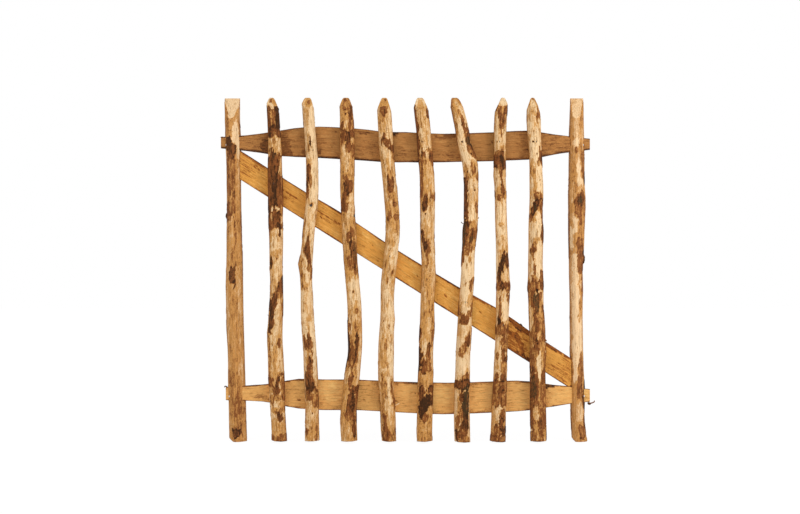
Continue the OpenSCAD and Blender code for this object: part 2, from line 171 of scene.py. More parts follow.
def smoothstep(low: float, high: float, value: np.ndarray) -> np.ndarray:
    """Rises from 0 at low to 1 at high as 3t^2 - 2t^3.

    Args:
        low: Value that gives 0.
        high: Value that gives 1.
        value: Any array.

    Returns:
        An array of the same shape.
    """
    t = np.clip((value - low) / (high - low), 0.0, 1.0)
    return t * t * (3.0 - 2.0 * t)


def blend(under: np.ndarray, over: np.ndarray | float, mask: np.ndarray) -> np.ndarray:
    """Lays one field over another.

    Args:
        under: The field that shows where the mask is 0.
        over: The field or the value that shows where it is 1.
        mask: How much of the upper one shows.

    Returns:
        The blended field.
    """
    return under * (1 - mask) + over * mask


def lattice_noise(u: np.ndarray, v: np.ndarray, cells: int, seed: int) -> np.ndarray:
    """Value noise: random numbers on a lattice, blended by smoothstep, repeating after cells along u.

    Args:
        u: Place around, where one unit is one cell.
        v: Place along, where one unit is one cell.
        cells: Number of cells around.
        seed: Seed of the random numbers.

    Returns:
        Noise from 0 to 1, of the arrays' broadcast shape.
    """
    table = np.random.default_rng(seed).random((cells, LATTICE_ROWS))
    iu, iv = np.floor(u).astype(int), np.floor(v).astype(int)
    fu, fv = smoothstep(0.0, 1.0, u - iu), smoothstep(0.0, 1.0, v - iv)
    left, right = iu % cells, (iu + 1) % cells
    low, high = iv % LATTICE_ROWS, (iv + 1) % LATTICE_ROWS
    near = blend(table[left, low], table[right, low], fu)
    far = blend(table[left, high], table[right, high], fu)
    return blend(near, far, fv)


def grown_noise(turn: np.ndarray, along: np.ndarray, cells: int, stretch: float, seed: int) -> np.ndarray:
    """Octaves of lattice noise on a timber's skin, longer along the grain than across it.

    Args:
        turn: Direction around the timber in radians.
        along: Place along it in metres.
        cells: Cells around it in the first octave.
        stretch: Length of a cell along the grain in metres.
        seed: Seed of the random numbers.

    Returns:
        Noise from 0 to 1.
    """
    total = np.zeros(np.broadcast(turn, along).shape)
    for octave in range(OCTAVES):
        n = cells * 2 ** octave
        u = turn / (2 * math.pi) * n + 0 * along
        v = along / stretch * 2 ** octave + 0 * turn
        total = total + lattice_noise(u, v, n, seed + OCTAVE_SEED * octave) * 0.5 ** octave
    return total / (2 - 0.5 ** (OCTAVES - 1))


def closed_along(values: np.ndarray, steps: int) -> np.ndarray:
    """Fills dips shorter than steps: the running maximum along the first axis, then the running minimum.

    Args:
        values: Array of stations by directions.
        steps: Half the window in stations.

    Returns:
        The filled array.
    """
    out = values
    for pick, edge in ((np.maximum, -np.inf), (np.minimum, np.inf)):
        padded = np.pad(out, ((steps, steps), (0, 0)), constant_values=edge)
        out = pick.reduce([padded[k:k + len(values)] for k in range(2 * steps + 1)])
    return out


def smoothed(values: np.ndarray, steps: int) -> np.ndarray:
    """Running mean along the first axis, with the ends repeated.

    Args:
        values: Array whose first axis is smoothed.
        steps: Half the window.

    Returns:
        The smoothed array.
    """
    padded = np.pad(values, ((steps, steps), (0, 0)), mode="edge")
    return np.mean([padded[k:k + len(values)] for k in range(2 * steps + 1)], axis=0)


# ---------------------------------------------------------------- from solids to fine skins

# A patch that reaches this share of the half width goes on round the timber, to this many radians.
EDGE = 0.98
ROUND_THE_EDGE = 1.95
# Outline of a patch: power of the roundest diamond and how much squarer it may be, picked by these factors.
DIAMOND, SQUARER, PICK_AT, PICK_SIDE = 1.4, 1.6, 871, 37
SLIMMEST = 0.06


@dataclass
class Skin:
    """A timber's outline as a grid of stations along it by directions around it, 0 towards the front."""

    run: Run
    along: np.ndarray
    centre: np.ndarray
    turn: np.ndarray
    radius: np.ndarray
    filled: np.ndarray

    @property
    def side(self) -> np.ndarray:
        """Place across from -1 to 1, as a share of half the width at each station."""
        across = self.radius * np.sin(self.turn)
        low, high = across.min(axis=1, keepdims=True), across.max(axis=1, keepdims=True)
        return np.clip(2 * (across - low) / (high - low) - 1, -1, 1)

    @property
    def angle(self) -> np.ndarray:
        """Direction on a round timber with the same place across, in radians from the front."""
        front = np.arcsin(self.side)
        return np.where(np.cos(self.turn) >= 0, front, np.where(self.turn < 0, -np.pi, np.pi) - front)

    @property
    def share(self) -> np.ndarray:
        """Share of the length at each station, as a column."""
        return ((self.along - self.along[0]) / (self.along[-1] - self.along[0]))[:, None]

    @property
    def ahead(self) -> np.ndarray:
        """Whether each direction looks to the front, as a row."""
        return np.cos(self.turn)[None, :] > 0

    def away(self, mark: Mark, stretch: float) -> np.ndarray:
        """Squared distance from the middle of a mark.

        Args:
            mark: The mark.
            stretch: How much longer than wide the mark is.

        Returns:
            Square metres at each point.
        """
        across = self.local()[..., 0]
        width = np.abs(across).max(axis=1, keepdims=True)
        length = (self.along[-1] - self.along[0]) * (self.share - mark.at)
        return (across - mark.side * width) ** 2 + (length / stretch) ** 2

    def covered(self, patch: Patch, middle: float,
                warp: Sequence[np.ndarray]) -> tuple[np.ndarray, np.ndarray]:
        """Where a patch lies: 1 inside a ragged shape in (direction, length), 0 outside.

        Args:
            patch: The patch, whose place gives it an outline between a diamond and a rounded box.
            middle: Direction of the side of 0, in radians from the front.
            warp: Shifts across, along and of the outline itself.

        Returns:
            The mask, and the band just inside its edge.
        """
        centre = patch.side + patch.lean * (self.share - patch.at)
        left, right = np.clip(centre - patch.wide, -1, 1), np.clip(centre + patch.wide, -1, 1)
        left = np.where(centre - patch.wide <= -EDGE, -ROUND_THE_EDGE, np.arcsin(left))
        right = np.where(centre + patch.wide >= EDGE, ROUND_THE_EDGE, np.arcsin(right))
        turn = np.angle(np.exp(1j * (self.angle - middle)))
        across = (turn - (left + right) / 2 + warp[0]) / np.maximum((right - left) / 2, SLIMMEST)
        along = (self.share - patch.at + warp[1]) / patch.tall
        power = DIAMOND + SQUARER * math.modf(abs(patch.at * PICK_AT + patch.side * PICK_SIDE))[0]
        distance = (np.abs(across) ** power + np.abs(along) ** power) ** (1 / power) + warp[2]
        mask = smoothstep(1.08, 1.0, distance)
        return mask, mask * smoothstep(0.72, 0.98, distance)

    def local(self) -> np.ndarray:
        """Points of the straightened timber: (across, towards the front, along)."""
        across = self.radius * np.sin(self.turn)
        ahead = self.radius * np.cos(self.turn)
        return np.stack([across, ahead, self.along[:, None] + 0 * across], axis=-1)

    def points(self) -> np.ndarray:
        """Points in the frame: the centre line plus the radius in each direction."""
        local = self.local()
        out = np.zeros(local.shape)
        length, width = self.run.value
        out[..., length] = self.along[:, None]
        out[..., width] = self.centre[:, None, 0] + local[..., 0]
        out[..., 1] = self.centre[:, None, 1] - local[..., 1]
        return out


def node_triangles(node: str) -> np.ndarray:
    """Corners of a CAD node's triangles.

    Args:
        node: Name of the node.

    Returns:
        Array of triangles by 3 corners by 3 coordinates.
    """
    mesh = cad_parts[node].data
    mesh.calc_loop_triangles()
    places = np.zeros(len(mesh.vertices) * 3)
    mesh.vertices.foreach_get("co", places)
    corners = np.zeros(len(mesh.loop_triangles) * 3, dtype=np.int64)
    mesh.loop_triangles.foreach_get("vertices", corners)
    return places.reshape(-1, 3)[corners].reshape(-1, 3, 3)


def section(triangles: np.ndarray, length: int, width: int, station: float) -> np.ndarray:
    """Cuts triangles with the plane across the length at one station.

    Args:
        triangles: The solid's triangles.
        length: Column of the length.
        width: Column of the width.
        station: Place of the plane.

    Returns:
        Line pieces of the cut as pieces by 2 ends by (width, depth).
    """
    height = triangles[..., length] - station
    hit = triangles[(height.min(axis=1) < 0) & (height.max(axis=1) >= 0)]
    height = hit[..., length] - station
    after = np.roll(hit, -1, axis=1)
    height_after = np.roll(height, -1, axis=1)
    crosses = (height < 0) != (height_after < 0)
    share = np.where(crosses, height / np.where(crosses, height - height_after, 1.0), 0.0)
    ends = (hit + share[..., None] * (after - hit))[..., [width, 1]]
    order = np.argsort(~crosses, axis=1, kind="stable")[:, :2]
    return np.take_along_axis(ends, order[..., None], axis=1)


PARALLEL = 1e-15
SLACK = 1e-6


def outermost(pieces: np.ndarray, centre: np.ndarray, turn: np.ndarray) -> np.ndarray:
    """Distance from a centre to the farthest wall in each direction, where a ray crosses a line piece.

    Args:
        pieces: Line pieces from section().
        centre: Width and depth of the centre.
        turn: Directions in radians, 0 towards the front.

    Returns:
        Distance in each direction, 0 where there is no wall.
    """
    a, b = pieces[:, 0] - centre, pieces[:, 1] - centre
    step = b - a
    dx, dy = np.sin(turn), -np.cos(turn)
    over = a[:, :1] * dy - a[:, 1:] * dx
    under = step[:, :1] * dy - step[:, 1:] * dx
    t = -over / np.where(np.abs(under) < PARALLEL, np.inf, under)
    reach = (a[:, :1] + t * step[:, :1]) * dx + (a[:, 1:] + t * step[:, 1:]) * dy
    reach = np.where((t >= -SLACK) & (t <= 1 + SLACK) & (np.abs(under) >= PARALLEL), reach, 0.0)
    return reach.max(axis=0)


# How far from its ends a timber is read as it is, without filling holes or smoothing its centre line.
END_REACH = 30 * MM
# The first and the last cut lie this far inside the ends, and an upright's cuts crowd towards them.
INSET = 2e-5
CROWDING = 0.1
CENTRE_STEPS = 4
HOLE_DEPTH = 0.6 * MM


def sample_skin(node: str, run: Run, stations: int, around: int, flatness: float, fill: float) -> Skin:
    """Reads a CAD node's outline as a fine grid.

    Args:
        node: Name of the node.
        run: Which way it runs.
        stations: Number of stations along it.
        around: Number of directions around it.
        flatness: Depth of the section over its width, which spaces the directions evenly.
        fill: Longest hole that is filled along the length, in metres.

    Returns:
        The skin, with bored holes and mortises closed.
    """
    length, width = run.value
    triangles = node_triangles(node)
    low, high = triangles[..., length].min(), triangles[..., length].max()
    even = np.linspace(0.0, 1.0, stations)
    share = even if run is Run.LYING else even - CROWDING * np.sin(2 * np.pi * even)
    along = low + INSET + (high - low - 2 * INSET) * share
    cuts = [section(triangles, length, width, station) for station in along]
    middle = np.array([(cut.min(axis=(0, 1)) + cut.max(axis=(0, 1))) / 2 for cut in cuts])
    near_end = (np.minimum(along - along[0], along[-1] - along) < END_REACH)[:, None]
    centre = np.where(near_end, middle, smoothed(middle, CENTRE_STEPS))
    t = np.linspace(-np.pi, np.pi, around, endpoint=False)
    turn = np.arctan2(np.sin(t), flatness * np.cos(t))
    radius = np.array([outermost(c, m, turn) for c, m in zip(cuts, centre)])
    steps = max(1, int(math.ceil(fill / (along[-1] - along[0]) * stations / 2)))
    closed = np.where(near_end, radius, closed_along(radius, steps))
    filled = smoothed(smoothed((closed - radius > HOLE_DEPTH).astype(float), 1).T, 1).T
    return Skin(run, along, centre, turn, closed, smoothstep(0.0, 0.3, filled))


END_RINGS = np.array([0.03, 0.2, 0.4, 0.6, 0.8, 0.93])


def skin_object(name: str, points: np.ndarray, fields: dict[str, np.ndarray]) -> bpy.types.Object:
    """Makes a closed mesh from rings of points, with its ends closed by rings that shrink to the middle.

    Args:
        name: Name of the object.
        points: Rings by directions by 3 coordinates.
        fields: Attributes of the points, each rings by directions, and by 3 if it is a vector.

    Returns:
        The object, linked to the scene.
    """
    def with_ends(grid: np.ndarray) -> np.ndarray:
        """Adds the end rings to a grid of values."""
        first, last = grid[:1].mean(axis=1, keepdims=True), grid[-1:].mean(axis=1, keepdims=True)
        scale = END_RINGS.reshape((-1,) + (1,) * (grid.ndim - 1))
        foot, top = first + (grid[:1] - first) * scale, last + (grid[-1:] - last) * scale[::-1]
        return np.concatenate([foot, grid, top])

    rings = with_ends(points)
    count, around = rings.shape[:2]
    index = np.arange(count * around).reshape(count, around)
    after = np.roll(index, -1, axis=1)
    quads = np.stack([index[:-1], after[:-1], after[1:], index[1:]], axis=-1).reshape(-1, 4)
    faces = quads.tolist() + [index[0, ::-1].tolist(), index[-1].tolist()]
    flat = rings.reshape(-1, 3)
    normal = np.cross(flat[quads[:, 2]] - flat[quads[:, 0]], flat[quads[:, 3]] - flat[quads[:, 1]])
    if (normal * (flat[quads[:, 0]] - flat.mean(axis=0))).sum() < 0:
        faces = [face[::-1] for face in faces]
    mesh = bpy.data.meshes.new(name)
    mesh.from_pydata(flat, [], faces)
    for label, grid in fields.items():
        values = with_ends(grid)
        kind, key = ("FLOAT_VECTOR", "vector") if grid.ndim == 3 else ("FLOAT", "value")
        mesh.attributes.new(label, kind, "POINT").data.foreach_set(key, values.astype(np.float32).ravel())
    mesh.shade_smooth()
    piece = bpy.data.objects.new(name, mesh)
    bpy.context.scene.collection.objects.link(piece)
    return piece


# ---------------------------------------------------------------- finishes

Feed = bpy.types.NodeSocket | float | Colour


class Nodes:
    """Short way to add and wire shader nodes in one tree."""

    def __init__(self, tree: bpy.types.NodeTree) -> None:
        """Keeps the tree that the nodes go into."""
        self.tree = tree

    def add(self, kind: str, inputs: dict | None = None, **settings) -> bpy.types.Node:
        """Adds a node.

        Args:
            kind: Node type, where a type that starts with ShaderNode goes without it.
            inputs: Socket name or number to a value or to the socket that feeds it.
            settings: Attributes of the node.

        Returns:
            The node.
        """
        node = self.tree.nodes.new("ShaderNode" + kind if not kind.startswith("Node") else kind)
        for key, value in settings.items():
            setattr(node, key, value)
        for key, value in (inputs or {}).items():
            if isinstance(value, bpy.types.NodeSocket):
                self.link(value, node.inputs[key])
            else:
                node.inputs[key].default_value = value
        return node

    def link(self, source: bpy.types.NodeSocket, target: bpy.types.NodeSocket) -> None:
        """Wires one socket to another.

        Args:
            source: Output socket.
            target: Input socket.
        """
        self.tree.links.new(source, target)

    def math(self, operation: str, a: Feed, b: Feed = 0.0) -> bpy.types.NodeSocket:
        """Adds a Math node.

        Args:
            operation: What it does.
            a: First value.
            b: Second value.

        Returns:
            Its result.
        """
        return self.add("Math", {0: a, 1: b}, operation=operation).outputs[0]

    def rise(self, value: Feed, low: float, high: float, to_low: float = 0.0,
             to_high: float = 1.0) -> bpy.types.NodeSocket:
        """Adds a smooth Map Range node.

        Args:
            value: What is mapped.
            low: Value that gives to_low.
            high: Value that gives to_high.
            to_low: Result at low.
            to_high: Result at high.

        Returns:
            Its result.
        """
        inputs = {"Value": value, "From Min": low, "From Max": high, "To Min": to_low, "To Max": to_high}
        return self.add("MapRange", inputs, interpolation_type="SMOOTHSTEP").outputs["Result"]

    def mix(self, factor: Feed, a: Feed, b: Feed, blend: str = "MIX") -> bpy.types.NodeSocket:
        """Adds a colour Mix node.

        Args:
            factor: How much of b shows.
            a: First colour.
            b: Second colour.
            blend: How b goes over a.

        Returns:
            The mixed colour.
        """
        node = self.add("Mix", data_type="RGBA", blend_type=blend)
        sockets = {socket.name: socket for socket in node.inputs if socket.enabled}
        for key, value in (("Factor", factor), ("A", a), ("B", b)):
            if isinstance(value, bpy.types.NodeSocket):
                self.link(value, sockets[key])
            else:
                sockets[key].default_value = value if key == "Factor" else (*value, 1.0)
        return next(socket for socket in node.outputs if socket.enabled)

    def noise(self, place: bpy.types.NodeSocket, across: float, along: float, detail: float = 3.0,
              rough: float = 0.55) -> bpy.types.NodeSocket:
        """Adds a Noise Texture.

        Args:
            place: Where it is looked up, in metres.
            across: Cells a metre across the grain.
            along: Cells a metre along it.
            detail: Octaves.
            rough: How strong the finer octaves are.

        Returns:
            Its value.
        """
        cells = self.add("VectorMath", {0: place, 1: (across, across, along)}, operation="MULTIPLY")
        inputs = {"Vector": cells.outputs[0], "Scale": 1.0, "Detail": detail, "Roughness": rough}
        return self.add("TexNoise", inputs).outputs[0]


def new_group(name: str, inputs: dict[str, str], outputs: dict[str, str]) -> tuple[Nodes, dict, dict]:
    """Makes a shader node group with named sockets.

    Args:
        name: Name of the group.
        inputs: Socket name to Float, Vector or Color.
        outputs: The same for what it puts out.

    Returns:
        The group's Nodes, its input sockets and its output sockets by name.
    """
    tree = bpy.data.node_groups.new(name, "ShaderNodeTree")
    for ways, sockets in (("INPUT", inputs), ("OUTPUT", outputs)):
        for label, kind in sockets.items():
            tree.interface.new_socket(name=label, in_out=ways, socket_type="NodeSocket" + kind)
    nodes = Nodes(tree)
    start, end = nodes.add("NodeGroupInput"), nodes.add("NodeGroupOutput")
    return nodes, {s.name: s for s in start.outputs}, {s.name: s for s in end.inputs}


def new_material(name: str) -> tuple[bpy.types.Material, Nodes, bpy.types.Node]:
    """Makes a material with a Principled shader.

    Args:
        name: Name of the material.

    Returns:
        The material, its Nodes and its shader.
    """
    material = bpy.data.materials.new(name)
    material.use_nodes = True
    return material, Nodes(material.node_tree), material.node_tree.nodes["Principled BSDF"]


class WoodGroup:
    """Shared group that turns the skin attributes into bark-to-wood colour, roughness and relief."""

    def __init__(self) -> None:
        """Builds the group: streaks and mottling shift the bark depth, which picks between the colours."""
        nodes, into, out = new_group(
            "wood_skin",
            {"Place": "Vector", "Depth": "Float", "Moss": "Float", "Pit": "Float", "Cut": "Float",
             "Bare": "Color", "Middle": "Color", "Inner": "Color", "Outer": "Color", "Moss Colour": "Color",
             "Streak": "Float", "Mottle": "Float", "Specks": "Float"},
            {"Color": "Color", "Roughness": "Float", "Height": "Float"})
        plus, minus, times = (partial(nodes.math, name) for name in ("ADD", "SUBTRACT", "MULTIPLY"))
        place = into["Place"]
        fibre = nodes.noise(place, 1300.0, 42.0, 3.0, 0.6)
        streak = nodes.noise(place, 430.0, 13.0, 4.0, 0.6)
        mottle = nodes.noise(place, 150.0, 55.0, 4.0, 0.68)
        flake = nodes.noise(place, 560.0, 260.0, 3.0, 0.68)
        fleck = nodes.rise(nodes.noise(place, 310.0, 95.0, 2.0), 0.62, 0.7)
        dash = nodes.rise(nodes.noise(place, 150.0, 560.0, 2.0), 0.64, 0.7)
        vein = nodes.math("ABSOLUTE", minus(nodes.noise(place, 190.0, 7.0, 2.0), 0.5))
        crack = times(nodes.rise(vein, 0.0, 0.018, 1.0, 0.0), nodes.rise(mottle, 0.44, 0.56))
        calm = minus(1.0, times(into["Cut"], 0.55))
        shift = plus(times(minus(streak, 0.5), into["Streak"]), times(minus(mottle, 0.5), into["Mottle"]))
        shift = plus(shift, times(minus(flake, 0.5), 0.55))
        spots = plus(plus(times(fleck, 0.2), times(crack, 0.5)), times(dash, 0.3))
        shift = times(plus(shift, times(spots, into["Specks"])), calm)
        flat = nodes.add("VectorMath", {0: place, 1: (1.0, 1.0, 0.0)}, operation="MULTIPLY").outputs[0]
        radius = nodes.add("VectorMath", {0: flat}, operation="LENGTH").outputs["Value"]
        wobble = plus(times(radius, 2300.0), times(mottle, 5.0))
        ring = times(nodes.math("SINE", wobble), times(into["Cut"], 0.035))
        depth = plus(plus(into["Depth"], shift), ring)
        colour = nodes.mix(nodes.rise(depth, 0.02, 0.36), into["Bare"], into["Middle"])
        colour = nodes.mix(nodes.rise(depth, 0.41, 0.62), colour, into["Inner"])
        colour = nodes.mix(nodes.rise(depth, 0.68, 0.96), colour, into["Outer"])
        moss = times(into["Moss"], nodes.rise(flake, 0.38, 0.58))
        colour = nodes.mix(times(moss, 0.8), colour, into["Moss Colour"])
        thread = nodes.rise(fibre, 0.34, 0.56, 0.72, 1.0)
        # Painted shade: the colour darkens in the pits of holes, nails and knots, to 0.12 of it at the
        # deepest.
        shade = times(thread, nodes.rise(into["Pit"], 0.15, 1.0, 1.0, 0.12))
        grey = nodes.add("CombineColor", {0: shade, 1: shade, 2: shade}).outputs[0]
        rough = plus(nodes.rise(depth, 0.1, 0.9, 0.5, 0.78), times(flake, 0.12))
        bark = times(flake, nodes.rise(depth, 0.45, 0.85, 0.3, 1.6))
        height = minus(plus(times(fibre, 0.5), bark), times(crack, 0.7))
        nodes.link(nodes.mix(1.0, colour, grey, "MULTIPLY"), out["Color"])
        nodes.link(rough, out["Roughness"])
        nodes.link(height, out["Height"])
        self.tree = nodes.tree

    def material(self, grain: Grain) -> bpy.types.Material:
        """Makes a wood material from the group.

        Args:
            grain: The finish.

        Returns:
            The material.
        """
        material, nodes, shader = new_material(grain.name)
        group = nodes.add("Group", node_tree=self.tree)
        for name, label, output in (("grain_place", "Place", "Vector"), ("bark_depth", "Depth", "Fac"),
                                    ("moss", "Moss", "Fac"), ("pit", "Pit", "Fac"), ("cut", "Cut", "Fac")):
            nodes.link(nodes.add("Attribute", attribute_name=name).outputs[output], group.inputs[label])
        for label, colour in (("Bare", grain.bare), ("Middle", grain.middle), ("Inner", grain.inner),
                              ("Outer", grain.outer), ("Moss Colour", grain.moss)):
            group.inputs[label].default_value = (*colour, 1.0)
        group.inputs["Streak"].default_value = grain.streak
        group.inputs["Mottle"].default_value = grain.mottle
        group.inputs["Specks"].default_value = grain.specks
        inputs = {"Height": group.outputs["Height"], "Strength": grain.bump, "Distance": 1.3 * MM}
        bump = nodes.add("Bump", inputs)
        nodes.link(group.outputs["Color"], shader.inputs["Base Color"])
        nodes.link(group.outputs["Roughness"], shader.inputs["Roughness"])
        nodes.link(bump.outputs["Normal"], shader.inputs["Normal"])
        shader.inputs["Specular IOR Level"].default_value = 0.16
        return material


@dataclass(frozen=True)
class NailSteel:
    """Finish of the nails: a metal with rust or zinc mottling."""

    name: str
    light: Colour
    dark: Colour
    metallic: float

    def material(self) -> bpy.types.Material:
        """Makes the material: two tones mixed by noise on Object coordinates, and a fine bump.

        Returns:
            The material.
        """
        material, nodes, shader = new_material(self.name)
        cloud = nodes.noise(nodes.add("TexCoord").outputs["Object"], 900.0, 900.0, 4.0, 0.6)
        bump = nodes.add("Bump", {"Height": cloud, "Strength": 0.3, "Distance": 0.2 * MM})
        colour = nodes.mix(nodes.rise(cloud, 0.35, 0.65), self.light, self.dark)
        nodes.link(colour, shader.inputs["Base Color"])
        nodes.link(nodes.rise(cloud, 0.3, 0.7, 0.32, 0.6), shader.inputs["Roughness"])
        nodes.link(bump.outputs["Normal"], shader.inputs["Normal"])
        shader.inputs["Metallic"].default_value = self.metallic
        return material


# ---------------------------------------------------------------- timbers

# Cells around and metres along of a skin's noises, in the order in which Timber.paint names them.
NOISES = ((4, 0.09), (12, 0.02), (17, 0.045), (3, 0.16), (24, 0.008), (15, 0.016), (13, 0.02))
BACK_PATCHES = 18
BACK_SEED = 900
# Bark is deeper than this, and a patch of it gets so much painted shadow of its thickness just inside its
# edge.
BARK_FROM, RIM_SHADE = 0.5, 0.2
# Depth of the deepest pit in mm, and how much longer than wide a knot's colour and its swelling are.
DEEPEST_PIT, KNOT_STRETCH, SWELL_STRETCH = 1.6, 1.7, 1.4
TIP_FROM = 0.8
# Metres that each timber's grain is shifted by along it, for every step of its seed.
GRAIN_SHIFT = 0.37


@dataclass
class Look:
    """What is painted on a skin, and the noises that its relief shares; each is stations by directions."""

    depth: np.ndarray
    moss: np.ndarray
    pit: np.ndarray
    cut: np.ndarray
    lump: np.ndarray
    ripple: np.ndarray


@dataclass(frozen=True)
class Timber:
    """One piece of timber: reads its solid, paints its skin and gives it relief.

    patches lie over the base, marks over them, and late ones over the cut tip; back is what the patches
    behind are made of. seat says between which depths the relief levels out. grain_lean is in degrees,
    bark_step is how proud the bark stands. variety, edge_bark_and_shade and flecks are the strengths of the
    broad change of tone, of the darkening along both edges, which is bark there and painted shade of the
    round flanks, and of the small spots. tip is the cut wood at the top, down to tip_depth.
    """

    node: str
    slot: str
    seed: int
    base: Bark
    patches: Sequence[Patch] = ()
    marks: Sequence[Mark] = ()
    late: Sequence[Patch] = ()
    back: Sequence[Bark] = (Bark.CREAM, Bark.RED, Bark.BROWN, Bark.TAN, Bark.OLIVE)
    run: Run = Run.UPRIGHT
    stations: int = 350
    around: int = 68
    flatness: float = 1.0
    fill: float = 11 * MM
    seat: tuple[float, float] = (-37.2 * MM, -36.3 * MM)
    grain_lean: float = 0.0
    bark_step: float = 0.7 * MM
    variety: float = 0.16
    edge_bark_and_shade: float = 0.17
    flecks: float = 0.11
    tip: Bark = Bark.STRAW
    tip_depth: float = 26 * MM

    def scattered(self) -> list[tuple[Patch, float]]:
        """Patches for the back, from the seed.

        Returns:
            Pairs of a patch and the direction of its middle in radians from the front.
        """
        rng = np.random.default_rng(self.seed + BACK_SEED)
        out = []
        for _ in range(BACK_PATCHES):
            bark = self.back[int(rng.integers(len(self.back)))]
            patch = Patch(rng.uniform(0.02, 0.98), 0.0, rng.uniform(0.02, 0.09), rng.uniform(0.35, 1.0),
                          bark, rng.uniform(-4, 4))
            out.append((patch, math.pi + rng.uniform(-1.2, 1.2)))
        return out

    def marked(self, skin: Skin, depth: np.ndarray, rag: np.ndarray,
               finger: np.ndarray) -> tuple[np.ndarray, np.ndarray]:
        """Paints the marks on the front.

        Args:
            skin: The timber's skin.
            depth: Bark depth without them.
            rag: Noise around 0 that frays their outlines.
            finger: Noise that breaks up their rims.

        Returns:
            Bark depth with them, and how deep their pits are from 0 to 1.
        """
        pit = 0 * depth
        for mark in self.marks:
            _, dip, size, middle, rim = mark.knot.value
            away = skin.away(mark, 1.0 if mark.knot is Knot.NAIL else KNOT_STRETCH)
            distance = np.where(skin.ahead, np.sqrt(away) / (size * mark.size * MM) + rag, np.inf)
            core = smoothstep(1.15, 0.6, distance)
            if rim is not None:
                ring = smoothstep(2.4, 1.4, distance) * smoothstep(0.3, 0.6, finger)
                depth = blend(depth, np.maximum(rim, depth), ring)
            depth = blend(depth, middle, core)
            pit = np.maximum(pit, core * min(1.0, dip / DEEPEST_PIT) * (0.6 if rim is not None else 1.0))
        return depth, pit

    def bared(self, skin: Skin, broad: np.ndarray, rag: np.ndarray,
              fleck: np.ndarray) -> tuple[np.ndarray, np.ndarray]:
        """Where the top of an upright is cut, which shows as a slope of its skin.

        Args:
            skin: The timber's skin.
            broad: Noise of the tone.
            rag: Noise that frays the lower end of the cut.
            fleck: Noise of the small spots.

        Returns:
            The cut wood's depth, and the mask of the cut.
        """
        slope = -np.gradient(skin.radius, axis=0) / np.gradient(skin.along)[:, None]
        cut = smoothstep(0.16, 0.3, slope) * (skin.share > TIP_FROM) * (self.run is Run.UPRIGHT)
        fresh = self.tip.value[0] + 0.35 * (broad - 0.5) + 0.5 * self.flecks * smoothstep(0.5, 0.7, fleck)
        below = skin.along[-1] - skin.along[:, None] + 8 * MM * (rag - 0.5)
        mask = cut * smoothstep(self.tip_depth * 1.25, self.tip_depth * 0.9, below)
        return fresh + 0.16 * smoothstep(0.25, 0.02, cut), mask

    def paint(self, skin: Skin) -> Look:
        """Paints the skin: patches over each other, then flecks, painted edge shade and bark, marks and the
        cut tip.

        Args:
            skin: The timber's skin.

        Returns:
            The painted fields.
        """
        turn, along = skin.turn[None, :], skin.along[:, None]
        broad, rag, finger, lump, fine, fleck, bald = (
            grown_noise(turn, along, *noise, self.seed + k) for k, noise in enumerate(NOISES))
        warp = ((rag - 0.5) * 0.5, (finger - 0.5) * 0.014, (fine - 0.5) * 0.8 + (finger - 0.5) * 0.35)
        behind = smoothstep(0.2, -0.2, np.cos(skin.angle))
        depth = self.base.value[0] + (broad - 0.5) * 2 * self.variety
        moss = self.base.value[1] + 0 * depth
        back = [(patch, middle, behind) for patch, middle in self.scattered()]
        for patch, middle, shown in back + [(patch, 0.0, 1.0) for patch in self.patches]:
            mask, band = (field * shown for field in skin.covered(patch, middle, warp))
            tone, mossy = patch.bark.value
            # Painted shadow of the bark's thickness: a darker band just inside the edge of a bark patch.
            rim = band * smoothstep(0.35, 0.6, lump) * RIM_SHADE * (tone > BARK_FROM)
            depth = blend(depth, tone + (broad - 0.5) * 0.7 * self.variety, mask) + rim
            moss = blend(moss, mossy, mask)
        depth = depth + self.flecks * (smoothstep(0.62, 0.72, fleck) - 0.8 * smoothstep(0.62, 0.74, bald))
        # Darker along both edges: bark left there, and painted shade where the round flanks turn from the
        # light.
        depth = depth + self.edge_bark_and_shade * smoothstep(0.86, 0.98, np.abs(skin.side)) * (0.3 + 1.2 * lump)
        depth, pit = self.marked(skin, depth, (rag + fine - 1) * 0.7, finger)
        fresh, cut = self.bared(skin, broad, rag, fleck)
        depth = blend(depth, fresh, cut)
        for patch in self.late:
            mask, _ = skin.covered(patch, 0.0, [0.4 * shift for shift in warp])
            depth = blend(depth, patch.bark.value[0] + 0.2 * (broad - 0.5), mask)
        return Look(depth, moss * (1 - cut), pit, cut, lump, finger)

    def relief(self, skin: Skin, look: Look) -> np.ndarray:
        """Height of the skin over the solid: bark stands proud, knots swell and holes dip.

        Args:
            skin: The timber's skin.
            look: What is painted on it.

        Returns:
            Height in metres.
        """
        bark = smoothstep(BARK_FROM, 0.72, look.depth)
        height = self.bark_step * (bark - 0.35) + (look.ripple - 0.5) * (0.4 + 0.9 * bark) * MM
        height = (height + (look.lump - 0.5) * 1.2 * MM) * (1 - 0.8 * look.cut)
        height = np.maximum(height, -1.5 * MM + 1.8 * MM * skin.filled) - DEEPEST_PIT * MM * look.pit
        for mark in self.marks:
            swell, _, size, _, _ = mark.knot.value
            if swell:
                bump = np.exp(-skin.away(mark, SWELL_STRETCH) / (size * mark.size * 2.2 * MM) ** 2)
                height = height + swell * MM * bump * skin.ahead
        return height

    def shape(self, skin: Skin) -> None:
        """Changes the sampled outline before it is painted; a plain timber keeps it.

        Args:
            skin: The timber's skin.
        """

